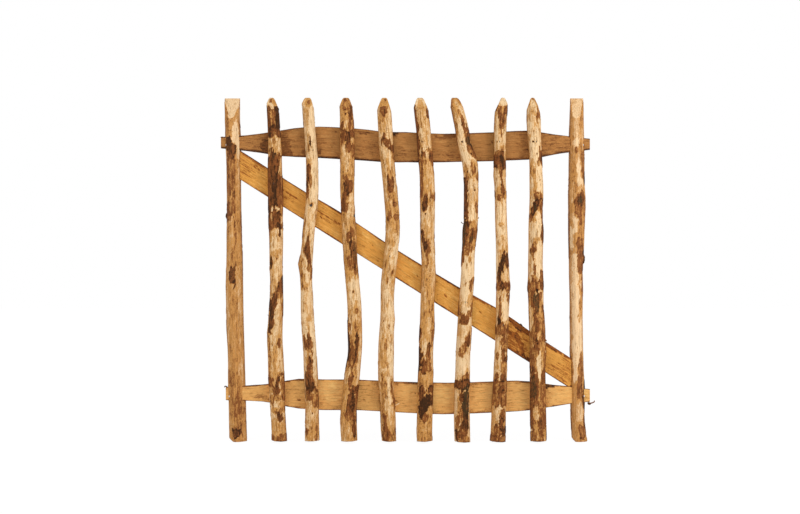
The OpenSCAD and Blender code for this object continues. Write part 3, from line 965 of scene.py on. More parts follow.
    def build(self, material: bpy.types.Material) -> bpy.types.Object:
        """Makes the finished timber in place of its CAD node; its relief stays level on the seat.

        Args:
            material: Its finish.

        Returns:
            The object.
        """
        skin = sample_skin(self.node, self.run, self.stations, self.around, self.flatness, self.fill)
        self.shape(skin)
        look = self.paint(skin)
        seat = smoothstep(*self.seat, skin.points()[..., 1])
        place = skin.local()
        lean = math.radians(self.grain_lean)
        if lean:
            up, on = place[..., 0] + skin.centre[:, None, 0], place[..., 2].copy()
            place[..., 0] = up * math.cos(lean) + on * math.sin(lean)
            place[..., 2] = on * math.cos(lean) - up * math.sin(lean)
        place[..., 2] += self.seed * GRAIN_SHIFT
        skin.radius = skin.radius + self.relief(skin, look) * (1 - seat)
        fields = {"bark_depth": look.depth, "moss": look.moss, "pit": look.pit, "cut": look.cut}
        piece = skin_object(self.node + "_timber", skin.points(), {**fields, "grain_place": place})
        piece.data.materials.append(material)
        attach(piece, "root")
        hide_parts(self.node)
        LOG.info("%s: %d faces", piece.name, len(piece.data.polygons))
        return piece


@dataclass(frozen=True)
class Pale(Timber):
    """A round pale: its flat notches behind stay level, its tip is cut to pale wood."""

    bark_step: float = 0.9 * MM
    stations: int = 400
    around: int = 72

    def shape(self, skin: Skin) -> None:
        """Wears the corners round at the very tip and at the sawn foot.

        Args:
            skin: The pale's skin.
        """
        for distance, reach, least in ((skin.along[-1] - skin.along, 7 * MM, 0.62),
                                       (skin.along - skin.along[0], 1.6 * MM, 0.93)):
            rise = np.clip(distance / reach, 0, 1)
            skin.radius = skin.radius * (least + (1 - least) * np.sqrt(1 - (1 - rise) ** 2))[:, None]


@dataclass(frozen=True)
class Stile(Timber):
    """A cleft stile with a long bevel, and a flat back as its seat for a hinge or a latch."""

    fill: float = 46 * MM
    seat: tuple[float, float] = (-1.2 * MM, -0.3 * MM)
    stations: int = 360
    around: int = 84
    edge_bark_and_shade: float = 0.16
    flecks: float = 0.06
    variety: float = 0.12
    tip: Bark = Bark.CREAM
    tip_depth: float = 92 * MM


@dataclass(frozen=True)
class Rail(Timber):
    """A half-round cleft timber that lies in the leaf: a flat seat for the pales, and bark behind.

    low_line and high_line are the mean widths in mm of the bark left along the lower and the upper edge.
    """

    run: Run = Run.LYING
    seat: tuple[float, float] = (-34.0 * MM, -35.4 * MM)
    round_back: tuple[float, float] = (-34.5 * MM, -32.5 * MM)
    stations: int = 420
    around: int = 88
    flatness: float = 0.42
    back: Sequence[Bark] = (Bark.RED, Bark.BROWN, Bark.DARK, Bark.OLIVE, Bark.BROWN)
    bark_step: float = 1.0 * MM
    variety: float = 0.1
    edge_bark_and_shade: float = 0.0
    flecks: float = 0.05
    low_line: float = 2.0
    high_line: float = 2.0

    def paint(self, skin: Skin) -> Look:
        """Paints the timber, with a ragged line of bark along each edge and bark over its round back.

        Args:
            skin: The timber's skin.

        Returns:
            The painted fields.
        """
        look = super().paint(skin)
        half = np.abs(skin.local()[..., 0]).max(axis=1, keepdims=True) / MM
        for line, inset in ((self.low_line, (1 + skin.side) * half),
                            (self.high_line, (1 - skin.side) * half)):
            width = line * (0.3 + 1.4 * look.lump) + 1.6 * (look.ripple - 0.5)
            look.depth = blend(look.depth, Bark.OLIVE.value[0], smoothstep(0.7, -0.5, inset - width))
        bark = Bark.BROWN.value[0] + 0.5 * (look.lump - 0.5) + 0.25 * (look.ripple - 0.5)
        look.depth = blend(look.depth, bark, smoothstep(*self.round_back, skin.points()[..., 1]))
        return look


# ---------------------------------------------------------------- small pieces

def turned_object(name: str, profile: np.ndarray, at: np.ndarray, out: np.ndarray) -> bpy.types.Object:
    """Turns a profile round an axis: each ring is a circle of the profile's radius at its height.

    Args:
        name: Name of the object.
        profile: Rows of (radius, height) in metres, from the bottom to the top.
        at: Foot of the axis.
        out: Direction of the axis.

    Returns:
        The object.
    """
    out = out / np.linalg.norm(out)
    side = np.cross(out, [0.0, 0.0, 1.0] if abs(out[2]) < 0.9 else [1.0, 0.0, 0.0])
    side = side / np.linalg.norm(side)
    other = np.cross(out, side)
    t = np.linspace(0, 2 * np.pi, 24, endpoint=False)
    circle = np.cos(t)[:, None] * side + np.sin(t)[:, None] * other
    points = at + profile[:, None, 1:] * out + profile[:, None, :1] * circle[None]
    return skin_object(name, points, {})


@dataclass(frozen=True)
class TenonNail:
    """A bright nail driven slantwise through a stile into its tenon, whose head stands proud."""

    node: str
    slant: float = 45.0
    head: float = 2.6 * MM
    shank: float = 1.5 * MM
    proud: float = 0.9 * MM

    def build(self, material: bpy.types.Material) -> bpy.types.Object:
        """Makes the nail with a slightly domed head, in place of its CAD node.

        Args:
            material: Its finish.

        Returns:
            The object.
        """
        low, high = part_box(self.node)
        left = "left" in self.node
        turn = math.radians(180 + self.slant if left else -self.slant)
        out = np.array([math.cos(turn), math.sin(turn), 0.0])
        middle = (low[2] + high[2]) / 2
        tip = np.array([high[0] if left else low[0], high[1], middle])
        length = float(np.dot(np.array([low[0] if left else high[0], low[1], middle]) - tip, out))
        length = length - self.shank - self.head
        # From the point up the shank and round the rim of the head to the top of its dome.
        t = np.linspace(0, np.pi / 2, 7)
        dome = np.stack([self.head * np.cos(t) * 0.98 + 0.02 * MM, 0.7 * MM * np.sin(t)], axis=-1)
        top = length + self.shank + self.proud
        profile = np.concatenate([[[0.3 * MM, 3 * MM], [self.shank, 7 * MM], [self.shank, top - 1.5 * MM],
                                   [self.head, top - 1.4 * MM], [self.head, top - 0.6 * MM]],
                                  dome + [0.0, top - 0.6 * MM]])
        piece = turned_object(self.node + "_steel", profile, tip, out)
        piece.data.materials.append(material)
        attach(piece, "root")
        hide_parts(self.node)
        return piece


NAME_SEED = 31


@dataclass(frozen=True)
class Sliver:
    """A torn splinter, twig or flake of bark: a tapering rod along a bent path.

    path and thick are in mm, flat is its depth over its width, depth is how far it is to outer bark, and
    blunt is its thickness at the ends over that in the middle.
    """

    name: str
    path: Sequence[Place]
    thick: float
    flat: float
    depth: float
    blunt: float = 0.35

    def build(self, material: bpy.types.Material) -> bpy.types.Object:
        """Makes the sliver: ellipses carried along a smooth path, narrower to its ends.

        Args:
            material: The wood it is torn from.

        Returns:
            The object.
        """
        rng = np.random.default_rng(len(self.name) * NAME_SEED)
        knots = np.array(self.path) * MM
        t = np.linspace(0, len(knots) - 1, 22)
        path = np.stack([np.interp(t, range(len(knots)), knots[:, k]) for k in range(3)], axis=-1)
        path = smoothed(path, 2)
        along = np.gradient(path, axis=0)
        along = along / np.linalg.norm(along, axis=1, keepdims=True)
        side = np.cross(along, [0.0, 1.0, 0.0])
        side = side / np.maximum(np.linalg.norm(side, axis=1, keepdims=True), 1e-9)
        front = np.cross(side, along)
        share = np.linspace(0, 1, len(path))
        girth = self.thick * MM * (self.blunt + (1 - self.blunt) * np.sin(np.pi * share) ** 0.7)
        girth = girth * rng.uniform(0.85, 1.15, len(path))
        turn = np.linspace(0, 2 * np.pi, 12, endpoint=False)
        offset = (girth[:, None, None] * np.cos(turn)[None, :, None] * side[:, None]
                  + girth[:, None, None] * self.flat * np.sin(turn)[None, :, None] * front[:, None])
        points = path[:, None] + offset
        none = np.zeros(points.shape[:2])
        grain = points * (0.0, 0.0, 1.0) + (0.0, 0.01, 0.0) + offset
        fields = {"bark_depth": none + self.depth, "moss": none, "pit": none, "cut": none}
        piece = skin_object(self.name, points, {**fields, "grain_place": grain})
        piece.data.materials.append(material)
        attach(piece, "root")
        return piece


# ---------------------------------------------------------------- the leaf

W, C, S, T, O, R = Bark.WHITE, Bark.CREAM, Bark.STRAW, Bark.TAN, Bark.ORANGE, Bark.RED
B, D, K, G, M, L = Bark.BROWN, Bark.DARK, Bark.BLACK, Bark.OLIVE, Bark.MOSSY, Bark.LICHEN


def as_share(per_cent: float) -> float:
    """Turns per cent into a share, rounded to a hundred-thousandth.

    Args:
        per_cent: The number of a row.

    Returns:
        The share.
    """
    return round(per_cent / 100, 5)


def patches(*rows: tuple) -> list[Patch]:
    """Makes patches from rows.

    Args:
        rows: Each (at, side, tall, wide, bark) or (at, side, tall, wide, bark, lean), the first four in
            per cent.

    Returns:
        The patches.
    """
    return [Patch(*map(as_share, row[:4]), *row[4:]) for row in rows]


def marks(*rows: tuple) -> list[Mark]:
    """Makes marks from rows.

    Args:
        rows: Each (at, side, knot) or (at, side, knot, size), the first two in per cent.

    Returns:
        The marks.
    """
    return [Mark(*map(as_share, row[:2]), *row[2:]) for row in rows]


# Each timber is painted row after row, so that a later row lies over an earlier one.
LEFT_STILE = Stile("left_stile", "stile_wood", 11, T, patches(
    (76.5, -32, 12, 52, R), (76, 30, 9, 25, O), (86.6, -40, 2, 50, D), (84.2, -5, 2, 36, B),
    (89.7, 45, 3.6, 42, W), (84, 72, 2.8, 18, C), (80, 82, 4, 20, S), (91, -75, 3, 25, O),
    (70, 38, 6, 10, O), (60, 30, 6, 10, R), (64, 75, 3.5, 20, O), (60, -75, 5, 12, O), (67, -75, 3, 22, B),
    (51.3, 8, 2.2, 5, K), (52, -30, 1, 40, O), (48.1, -15, 2.6, 40, B), (45, 10, 1.2, 6, D),
    (37, -70, 9, 10, S), (37, 62, 12, 16, S), (25, 60, 3, 20, T), (20, 65, 3, 18, S), (15, -10, 6, 70, O),
    (13, 15, 1.6, 25, R), (19, -65, 2.5, 20, R), (9, 10, 3, 80, O), (4, 20, 2, 60, O),
    (2.7, -5, 1.5, 42, B), (69, 15, 2.5, 16, R), (70, -20, 3, 14, T), (62, -20, 3, 18, S),
    (54, 20, 3, 60, O), (10, 10, 2.2, 45, R), (85, 10, 1.4, 30, B), (84.3, 74, 2.8, 16, W),
    (79, 20, 3, 14, R), (85, 85, 2, 14, W)), marks(
    (39.7, 10, Knot.DOT), (33.3, 80, Knot.DOT), (16, 40, Knot.DOT), (65, -50, Knot.SCAR)), late=patches(
    (94.3, -86, 4.1, 50, R, -9), (94, -92, 4, 48, O, -9), (95, 75, 1.8, 25, T)), tip=W)

RIGHT_STILE = Stile("right_stile", "stile_wood", 12, T, patches(
    (91, -10, 5, 40, S), (91, 68, 4.5, 20, S), (92, 40, 5, 6, O), (86.6, -28, 1.7, 35, W),
    (84.5, -20, 1, 25, T), (78.5, -50, 3, 28, O), (78.5, 10, 4.5, 20, W), (75, 35, 1.4, 35, W),
    (80, 60, 3.5, 22, R), (83, 50, 1.5, 30, O), (76.5, 85, 2, 10, D), (73, -50, 2, 30, S),
    (68.5, 30, 4.5, 55, R), (70.3, 40, 1.8, 35, B), (70.3, 40, 1.2, 20, G), (63, 50, 4, 38, O),
    (66, 30, 3, 20, R), (62.8, -30, 2.2, 36, W), (64, -65, 3, 20, S), (57.5, 25, 2.4, 60, R),
    (54.5, 40, 2.8, 50, R), (54, 70, 1.6, 25, D), (51, -25, 3, 45, W), (40, -25, 10, 60, W),
    (29, 0, 7, 75, W), (39, 50, 1.2, 30, O), (51, 70, 3.5, 25, R), (46, 50, 2, 20, C), (22, -45, 4, 35, W),
    (21.5, 45, 4, 28, R), (16, 10, 3.5, 42, R), (17.5, 40, 2.5, 12, B), (12.5, 60, 1.6, 30, R),
    (8.5, 10, 2.5, 55, C), (8.5, -60, 5, 20, T), (3, 40, 2, 40, R), (6, 80, 2, 12, B),
    (71.2, -70, 3, 20, S), (85.2, -70, 2, 20, S), (58, -75, 3, 18, S), (51.5, 35, 2.8, 30, R),
    (45, 78, 3.5, 18, R), (13, 78, 4, 20, R), (21, 30, 1.2, 25, O), (86, 30, 2.5, 20, O),
    (82.8, 75, 1.6, 20, R), (21, 32, 2.2, 28, R), (13, 86, 4.5, 14, B), (59, -80, 4, 16, W),
    (73, 20, 1, 25, S), (45, -85, 9, 12, C), (13, 80, 3.5, 16, D), (73.5, -20, 1.4, 20, O),
    (51, 75, 1.4, 20, B)), marks(
    (70.3, 45, Knot.EYE), (55.7, 50, Knot.SCAR), (38.7, 50, Knot.DOT), (84.7, -20, Knot.SCAR)),
    late=patches(
    (95.5, -96, 6, 14, O), (95.3, 86, 4, 40, R, 9), (95, 90, 4, 38, O, 9)))

TOP_RAIL = Rail("top_rail", "top_rail_wood", 21, T, patches(
    (9, 0, 5.5, 120, O), (15, 0, 3.5, 120, R), (13, -20, 2, 50, B), (30, 20, 8, 70, T), (42, -20, 5, 50, O),
    (90, 0, 9, 120, O), (24, 0, 4, 60, O), (2, 0, 2, 120, O), (24, -60, 3, 20, R), (46, 94, 2, 10, D),
    (62, 80, 4, 12, R), (36, 80, 4, 10, R), (56, -50, 12, 32, O), (47, -15, 3, 30, O), (7.5, 10, 3, 40, O),
    (0.8, 0, 1, 120, T)), marks(
    (14, 10, Knot.EYE), (17, -20, Knot.SCAR), (30, -30, Knot.DOT), (57, 40, Knot.DOT), (73.5, 30, Knot.DOT),
    (64, 20, Knot.DOT), (83, -30, Knot.DOT)), low_line=3.4, high_line=1.2)

BOTTOM_RAIL = Rail("bottom_rail", "bottom_rail_wood", 22, T, patches(
    (8, 0, 5, 120, T), (10, -50, 3, 30, O), (30, 10, 6, 50, S), (45, -20, 5, 60, T), (60, 20, 6, 60, S),
    (72, -20, 6, 40, T), (87.5, 0, 2, 70, O), (98.5, 0, 2, 120, S), (87.5, 90, 3, 16, D),
    (65, -94, 13, 14, O), (58, 94, 18, 14, O), (44, -50, 3, 30, O)), marks(
    (25, 20, Knot.DOT), (38, -30, Knot.EYE, 0.7), (52, 30, Knot.DOT), (66, -20, Knot.SCAR, 0.7),
    (78, 30, Knot.DOT), (20, -40, Knot.SCAR, 0.7)), low_line=1.2, high_line=1.8)

BRACE = Rail("brace", "brace_wood", 23, T, patches(
    (6, 20, 6, 90, T), (4, 60, 3, 40, O), (20, 10, 8, 80, T), (35, -30, 5, 50, T), (28, 12, 4.5, 4, R),
    (27, -10, 6, 3, O), (13, 20, 4, 4, R), (12, -30, 5, 3, O), (42, 40, 4, 3, O), (45, -50, 4, 3, O),
    (56, 50, 4, 3, O), (50, 10, 8, 60, T), (66, 0, 5, 60, S), (84, 0, 5, 120, O), (82, -40, 4, 60, R),
    (84.5, 85, 5, 20, B), (88, 30, 2, 40, O), (96, -50, 4, 40, O), (95, 90, 4, 14, B), (74, 92, 4, 10, R),
    # The orange rows at 1, 4, 90.5, 96.5 and 98.5 per cent are painted shade at both ends, where the brace
    # meets the stiles.
    (83, -85, 5, 12, B), (1, 0, 2, 120, O), (4, 60, 3, 30, O), (96.5, -35, 3, 45, O),
    (98.5, 20, 1.4, 60, O), (90.5, -50, 2, 30, O), (54, -90, 5, 14, C), (42, 60, 5, 30, S),
    (54, 40, 3, 40, S)), marks(
    (24.5, -10, Knot.DOT, 1.4), (40, 20, Knot.DOT), (53.5, 10, Knot.DOT, 1.4), (62, -10, Knot.EYE),
    (72.5, 20, Knot.EYE, 0.7), (91, 20, Knot.EYE, 0.8), (94.5, -30, Knot.EYE, 0.7), (92, -50, Knot.DOT),
    (5, 50, Knot.SCAR), (8, -10, Knot.DOT)), grain_lean=32.3, flatness=0.34, low_line=1.0, high_line=2.2)

PALE_1 = Pale("pale_1", "pale_wood", 31, S, patches(
    (93, 0, 5.5, 120, B), (94.8, 0, 3.4, 50, R), (94.5, -32, 3, 12, O), (93, 68, 5, 18, K),
    (90.5, -10, 1.4, 60, D), (89.3, 0, 1.4, 120, B), (88.9, 20, 0.8, 30, R), (86.3, 0, 2.1, 120, S),
    (86, 60, 2, 30, C), (86.8, 0, 1.4, 25, T), (74.5, 0, 8.8, 120, B), (79.8, -15, 4.5, 42, D),
    (82.4, 10, 1.6, 25, G), (82.8, 55, 1.2, 22, R), (80, 15, 3, 34, B), (78.8, 82, 2.4, 26, S),
    (75.5, 0, 4, 30, D), (71, -42, 3.5, 10, R), (72, 75, 6, 25, R), (70.5, 0, 2.5, 20, D),
    (67.4, -42, 1.4, 14, W), (67.1, 30, 1.4, 28, C), (64.1, 0, 3, 120, B), (65.2, -42, 1.2, 10, T),
    (61.2, 50, 2, 28, D), (61.2, -10, 1.2, 25, S), (56, 10, 4, 85, C), (60, -80, 3.5, 14, R),
    (52, -70, 2, 20, D), (50, 20, 4, 40, C), (45.2, 60, 3, 32, B, 13), (42.8, 30, 1.2, 60, R),
    (42, 0, 1.2, 30, B), (37, -45, 6, 36, D, 2.4), (40.5, -10, 1.6, 35, B), (36, 45, 3.5, 40, C),
    (39, 93, 3, 10, R), (29, 60, 1.5, 17, B), (31, 20, 2, 30, C), (24, -75, 6, 14, O),
    (25, -10, 2.5, 30, T), (22, 60, 4, 30, C), (19, 35, 1, 30, O), (16.2, 15, 2.4, 30, D, 10),
    (15, -30, 1.4, 30, R), (13, 0, 1.2, 80, O), (10.5, 60, 1.4, 25, O), (12, -60, 2, 20, R),
    (4, 0, 3, 120, T), (9, -30, 1, 50, O), (9.2, 40, 1, 15, R), (7, 32, 1.5, 34, D), (5, 10, 1, 15, R),
    (0.8, 0, 1.2, 120, R), (84.5, 30, 1, 35, S), (54.8, 10, 1.2, 70, T), (15, 78, 4, 20, R),
    (10.2, 80, 1.8, 25, O), (17.2, -70, 1.2, 30, R), (80.5, 84, 2, 18, S), (65, 82, 2.2, 18, T),
    (34.8, -25, 1.4, 20, B), (59, -70, 1.2, 25, O), (39.5, 5, 1.2, 25, B), (61, 20, 1, 30, C),
    (40, -78, 2, 24, D), (44.5, 80, 1.4, 20, B), (38.5, 30, 1.4, 25, C), (15, 20, 1.2, 25, B),
    (67, 80, 1.2, 20, O)), marks(
    (87.2, 0, Knot.SCAR), (62.5, 10, Knot.DOT), (53, 20, Knot.DOT, 1.3)), late=patches(
    (99, -50, 1.2, 50, C), (97.4, 0, 1, 35, C), (99, -20, 0.6, 30, B), (96.6, -50, 0.8, 20, B)), tip=O)

PALE_2 = Pale("pale_2", "pale_wood", 32, C, patches(
    (95.5, -50, 2, 40, T), (86, 50, 12, 60, W), (74, 40, 7, 70, W), (90, -65, 6, 30, S),
    (88.5, -20, 1, 16, T), (87, -5, 2, 14, D), (85.6, 40, 0.3, 40, R), (81, -60, 1.2, 30, O),
    (77.8, -55, 2.6, 32, B), (75.5, -70, 3, 18, B), (72, -75, 2, 15, R), (68.6, 25, 1, 20, S),
    (66, 90, 6, 6, R), (61, -75, 4, 16, O), (62, -90, 3, 8, B), (56.2, 8, 2.9, 36, B, -7),
    (52.5, 55, 2.4, 26, B, -9), (50.5, 65, 1.4, 25, R), (55.5, -40, 1.2, 20, R), (59, 10, 1.2, 25, T),
    (51, -70, 2, 25, T), (47, -60, 3, 35, O), (45, -10, 1.2, 40, O), (38.5, 30, 3.5, 50, S),
    (40, 0, 2, 30, S), (34, 10, 3, 14, T), (30, 75, 6, 25, W), (31, 0, 0.8, 20, R), (28.2, -10, 2, 55, R),
    (28.5, -15, 1.2, 22, B), (25.5, -50, 1, 25, S), (24, -2, 1.6, 26, B), (30, -65, 1.6, 20, R),
    (23.5, -65, 1.5, 16, C), (20, -2, 4.5, 32, B), (17.5, -45, 3.5, 35, B), (21, 36, 5, 20, R),
    (21, 75, 5, 18, W), (15.7, -10, 1.6, 60, D), (15, 55, 1, 35, R), (13, 0, 1.2, 80, R),
    (11.5, 45, 1.2, 35, R), (8, 0, 3.5, 100, S), (3, 0, 2.5, 100, T), (3.5, -68, 2, 14, B),
    (3, 62, 1.2, 12, R), (1, 50, 1, 25, R), (90, -72, 5, 22, C), (83.8, 30, 2.2, 50, W),
    (74.8, -72, 2, 20, B), (57.7, 15, 1.8, 24, B), (61, 72, 3.5, 25, W), (53, -75, 1.4, 25, O),
    (24, -30, 3, 16, O), (11.5, 50, 1.6, 45, R), (47, -20, 1.2, 25, O), (5, -70, 1.2, 25, S),
    (85.2, -30, 1.2, 25, O), (78, 80, 4, 20, W), (79, -30, 2, 14, O), (48.6, 80, 1.4, 20, R),
    (20.5, -25, 2, 20, R), (13, -75, 1.4, 20, R), (68.6, 10, 0.7, 20, R), (86.5, -75, 3, 20, C),
    (76.5, -30, 3.5, 18, R), (21, -25, 1.4, 20, B), (13, 75, 1.2, 22, R)), marks(
    (45, -40, Knot.EYE, 0.8), (8.3, 10, Knot.DOT, 1.4), (84.5, 35, Knot.DOT), (61, 10, Knot.DOT),
    (60.5, 50, Knot.DOT), (40, -10, Knot.DOT)), late=patches(
    (98.4, 0, 1.2, 50, T), (98.7, 35, 0.7, 25, R), (97.8, -60, 1, 20, C)), tip=S)

PALE_3 = Pale("pale_3", "pale_wood", 33, T, patches(
    (94, -20, 4, 70, O), (92.5, 0, 1.4, 30, S), (95.7, 66, 2.6, 20, B), (92, 45, 3, 20, R),
    (92.5, 85, 2, 16, O), (91, -70, 1.4, 20, B), (88.7, -10, 1.6, 75, B), (88.7, 70, 1.6, 30, R),
    (86.8, -60, 1, 25, R), (86.8, 15, 1, 25, B), (87.3, 75, 1, 25, S), (85.3, -40, 1, 20, C),
    (84, 75, 2, 20, R), (82.8, -10, 3, 65, S), (77, 10, 1, 80, O), (74, 25, 2.2, 55, B),
    (76.5, -5, 1, 14, R), (70, -36, 4, 42, B, 8), (65.5, -50, 1, 30, O), (69, 60, 3, 32, C),
    (66.8, 30, 2, 35, C), (64.5, 30, 1.4, 50, S), (60.5, -62, 3.5, 25, S), (60, 10, 1.2, 30, B),
    (60.5, 50, 1.4, 30, R), (56, 22, 3, 18, D), (54.5, 50, 4, 30, R), (54.5, 66, 3.5, 22, L),
    (50.5, 50, 1.4, 30, B), (53, -50, 3, 35, O), (49, 60, 0.8, 20, R), (44, 35, 3.5, 65, W),
    (42, -60, 5, 40, S), (38, 20, 3, 100, S), (35, -70, 2, 15, R), (28.5, -90, 6.5, 15, D),
    (33, 25, 0.8, 25, R), (25, -35, 3.5, 35, R), (26, 20, 4, 25, R), (28.7, 25, 2.8, 20, D),
    (24, 10, 3, 10, D), (25, 72, 7, 20, C), (21, -40, 0.6, 10, S), (18.8, -60, 1.8, 30, C),
    (19, 5, 3, 14, B), (15, 40, 1.2, 60, B), (12, 42, 2.5, 35, D), (8.5, 52, 2.4, 32, D),
    (10.5, 0, 3.5, 34, B), (8, 10, 2, 40, R), (4, 68, 3.5, 20, B), (5, 40, 1, 20, O),
    (85.2, 20, 1.2, 35, R), (68.7, -35, 1.8, 22, B), (51.2, 5, 1.6, 35, R), (43.8, -5, 3.6, 45, W),
    (17.5, -15, 1.6, 25, R), (7, 40, 1.4, 30, R), (33.5, -60, 3, 20, C), (66.5, 20, 1.4, 35, C),
    (59, -25, 1.2, 20, R), (11, 80, 5, 18, R), (68.3, -10, 1.8, 25, R), (33, -78, 1.4, 20, R)), marks(
    (65.5, 90, Knot.HOLE), (60, 10, Knot.SCAR), (55.5, 50, Knot.HOLE), (43.5, 0, Knot.DOT, 1.4),
    (38, 30, Knot.SCAR), (95, -10, Knot.DOT), (78.5, 10, Knot.DOT)), late=patches(
    (97.8, 0, 1.6, 60, R), (98, 10, 1.2, 40, O), (99.3, -20, 0.5, 40, B)), tip=O)

PALE_4 = Pale("pale_4", "pale_wood", 34, S, patches(
    (95.3, -20, 1.4, 42, R), (93, -50, 2, 35, O), (93, 65, 5, 30, C), (91, -30, 1.4, 50, T),
    (90, 50, 3, 35, C), (88.5, -10, 0.8, 15, R), (87.2, -30, 1.5, 42, B), (86.6, 45, 1.2, 25, R),
    (85.3, 40, 1.4, 50, B), (83.5, 85, 2, 14, R), (84.5, -25, 2.5, 30, C), (82, 40, 4.5, 14, W),
    (80.5, -40, 3, 20, C), (79, 0, 1, 15, O), (77, 15, 1.4, 40, O), (74.2, 12, 2.8, 36, B, -5),
    (75.5, 50, 1.4, 28, R), (71.5, 30, 1.4, 25, R), (66.5, 0, 5.5, 120, T), (68, 50, 2.5, 25, O),
    (67, -50, 2, 40, O), (65, -40, 0.9, 45, R), (65.2, 55, 1, 28, R), (62, 65, 2, 18, O),
    (55, 65, 4, 35, W), (60, 35, 1.4, 30, C), (49, 50, 1, 25, O), (51, -50, 3, 45, T), (43, -10, 2, 60, C),
    (37.5, 50, 5.5, 42, W), (26.5, -35, 5, 42, T), (26, -15, 3, 15, O), (28, 0, 2, 20, O),
    (24, 60, 5, 30, W), (30, 75, 2, 20, C), (15, 30, 4, 18, W), (15, 72, 2.5, 14, R), (12, -40, 8, 35, O),
    (8, 30, 3, 20, C), (9, 78, 3, 16, T), (5, -40, 2.5, 35, R), (2.2, -20, 2, 60, R), (2, 60, 2, 40, O),
    (72.2, 10, 1.8, 60, O), (65.5, -20, 1.2, 25, R), (47, -20, 1.4, 25, O), (11, 75, 1.4, 25, R),
    (11, -20, 2, 25, C), (86.6, 0, 1.2, 30, B), (85.3, 65, 1.2, 35, B), (73.5, 10, 1.4, 32, B),
    (91, 20, 1.4, 20, W), (53, 75, 2, 20, W)), marks(
    (87.2, -10, Knot.SCAR, 1.2), (49.3, 45, Knot.EYE, 0.8), (2.2, -15, Knot.EYE, 1.2), (56, -10, Knot.DOT),
    (35, -50, Knot.DOT)), late=patches(
    (97.5, -10, 1.6, 60, O), (98, 0, 1.2, 40, T), (96.8, 10, 0.6, 50, R, 20), (99.3, 30, 0.4, 30, B),
    (95.8, 20, 0.6, 25, B)), tip=T)

PALE_5 = Pale("pale_5", "pale_wood", 35, T, patches(
    (87, 25, 11, 50, S), (90, -84, 9, 18, B), (95.5, 75, 1.4, 22, R), (89.5, -30, 3.5, 5, R),
    (87, 38, 7, 5, O), (88, 80, 3, 20, C), (84.5, -42, 1.2, 15, B), (83.4, 60, 1.4, 40, R),
    (83.2, -25, 1.2, 25, B), (81.2, -30, 1, 40, O), (77, 75, 5, 18, C), (77, -75, 6, 20, R),
    (76, 10, 4, 35, S), (71.2, -20, 0.8, 20, R), (69.4, -38, 2, 28, D, 9), (71, 60, 0.8, 20, R),
    (65.5, 35, 3, 60, C), (66, -50, 1.4, 30, S), (58.8, -66, 3.2, 18, D, -4), (58.5, -42, 1, 14, D),
    (56, -22, 1.8, 30, D), (56.5, 15, 1.8, 22, R), (59, 70, 5, 20, C), (53, 75, 3, 25, S),
    (42, -60, 5, 30, S), (40, -20, 2, 30, S), (45, 70, 4.5, 14, S), (39.5, 62, 1.2, 12, R),
    (37, 40, 1, 14, R), (34, 20, 2, 40, S), (31, -85, 2, 14, B), (24, -75, 3.5, 26, D),
    (21.8, -30, 2.2, 35, B), (30, 70, 2.5, 12, R), (26.2, 30, 2.5, 20, B), (22.2, 30, 2, 35, R),
    (28, -25, 2.5, 25, C), (24, 85, 3.5, 14, C), (18, -60, 1.5, 30, O), (15, 75, 1.4, 30, B),
    (12, 15, 1.6, 85, D), (10.7, -5, 1.8, 50, K), (8.5, -40, 2, 35, D), (7, 0, 1.2, 30, R),
    (5, -40, 1, 40, O), (1.4, 20, 1.8, 60, O), (95, 75, 1.4, 25, B), (85.2, -20, 1.2, 22, S),
    (82.8, 20, 1, 25, S), (71.2, 20, 1.2, 25, S), (68.2, -45, 1.8, 32, D), (69, 70, 1.5, 20, C),
    (53, -20, 2, 20, R), (53, 70, 2, 20, C), (24.5, 30, 1.4, 40, R), (14, -55, 2.2, 32, B),
    (89, -40, 2, 26, C), (81.8, 78, 1.8, 20, R), (71.2, 78, 1.4, 20, R), (65.5, -78, 2, 18, C),
    (54.7, -20, 1.2, 20, R), (31, 78, 1.6, 18, R), (27, 15, 1.2, 16, R)), marks(
    (66, -30, Knot.HOLE), (56.5, 0, Knot.EYE, 0.9), (48, 20, Knot.DOT), (87, -35, Knot.DOT),
    (15, 10, Knot.DOT)), late=patches(
    (97.9, 0, 1.5, 50, O), (98.1, 0, 1.2, 42, T)), tip=C)

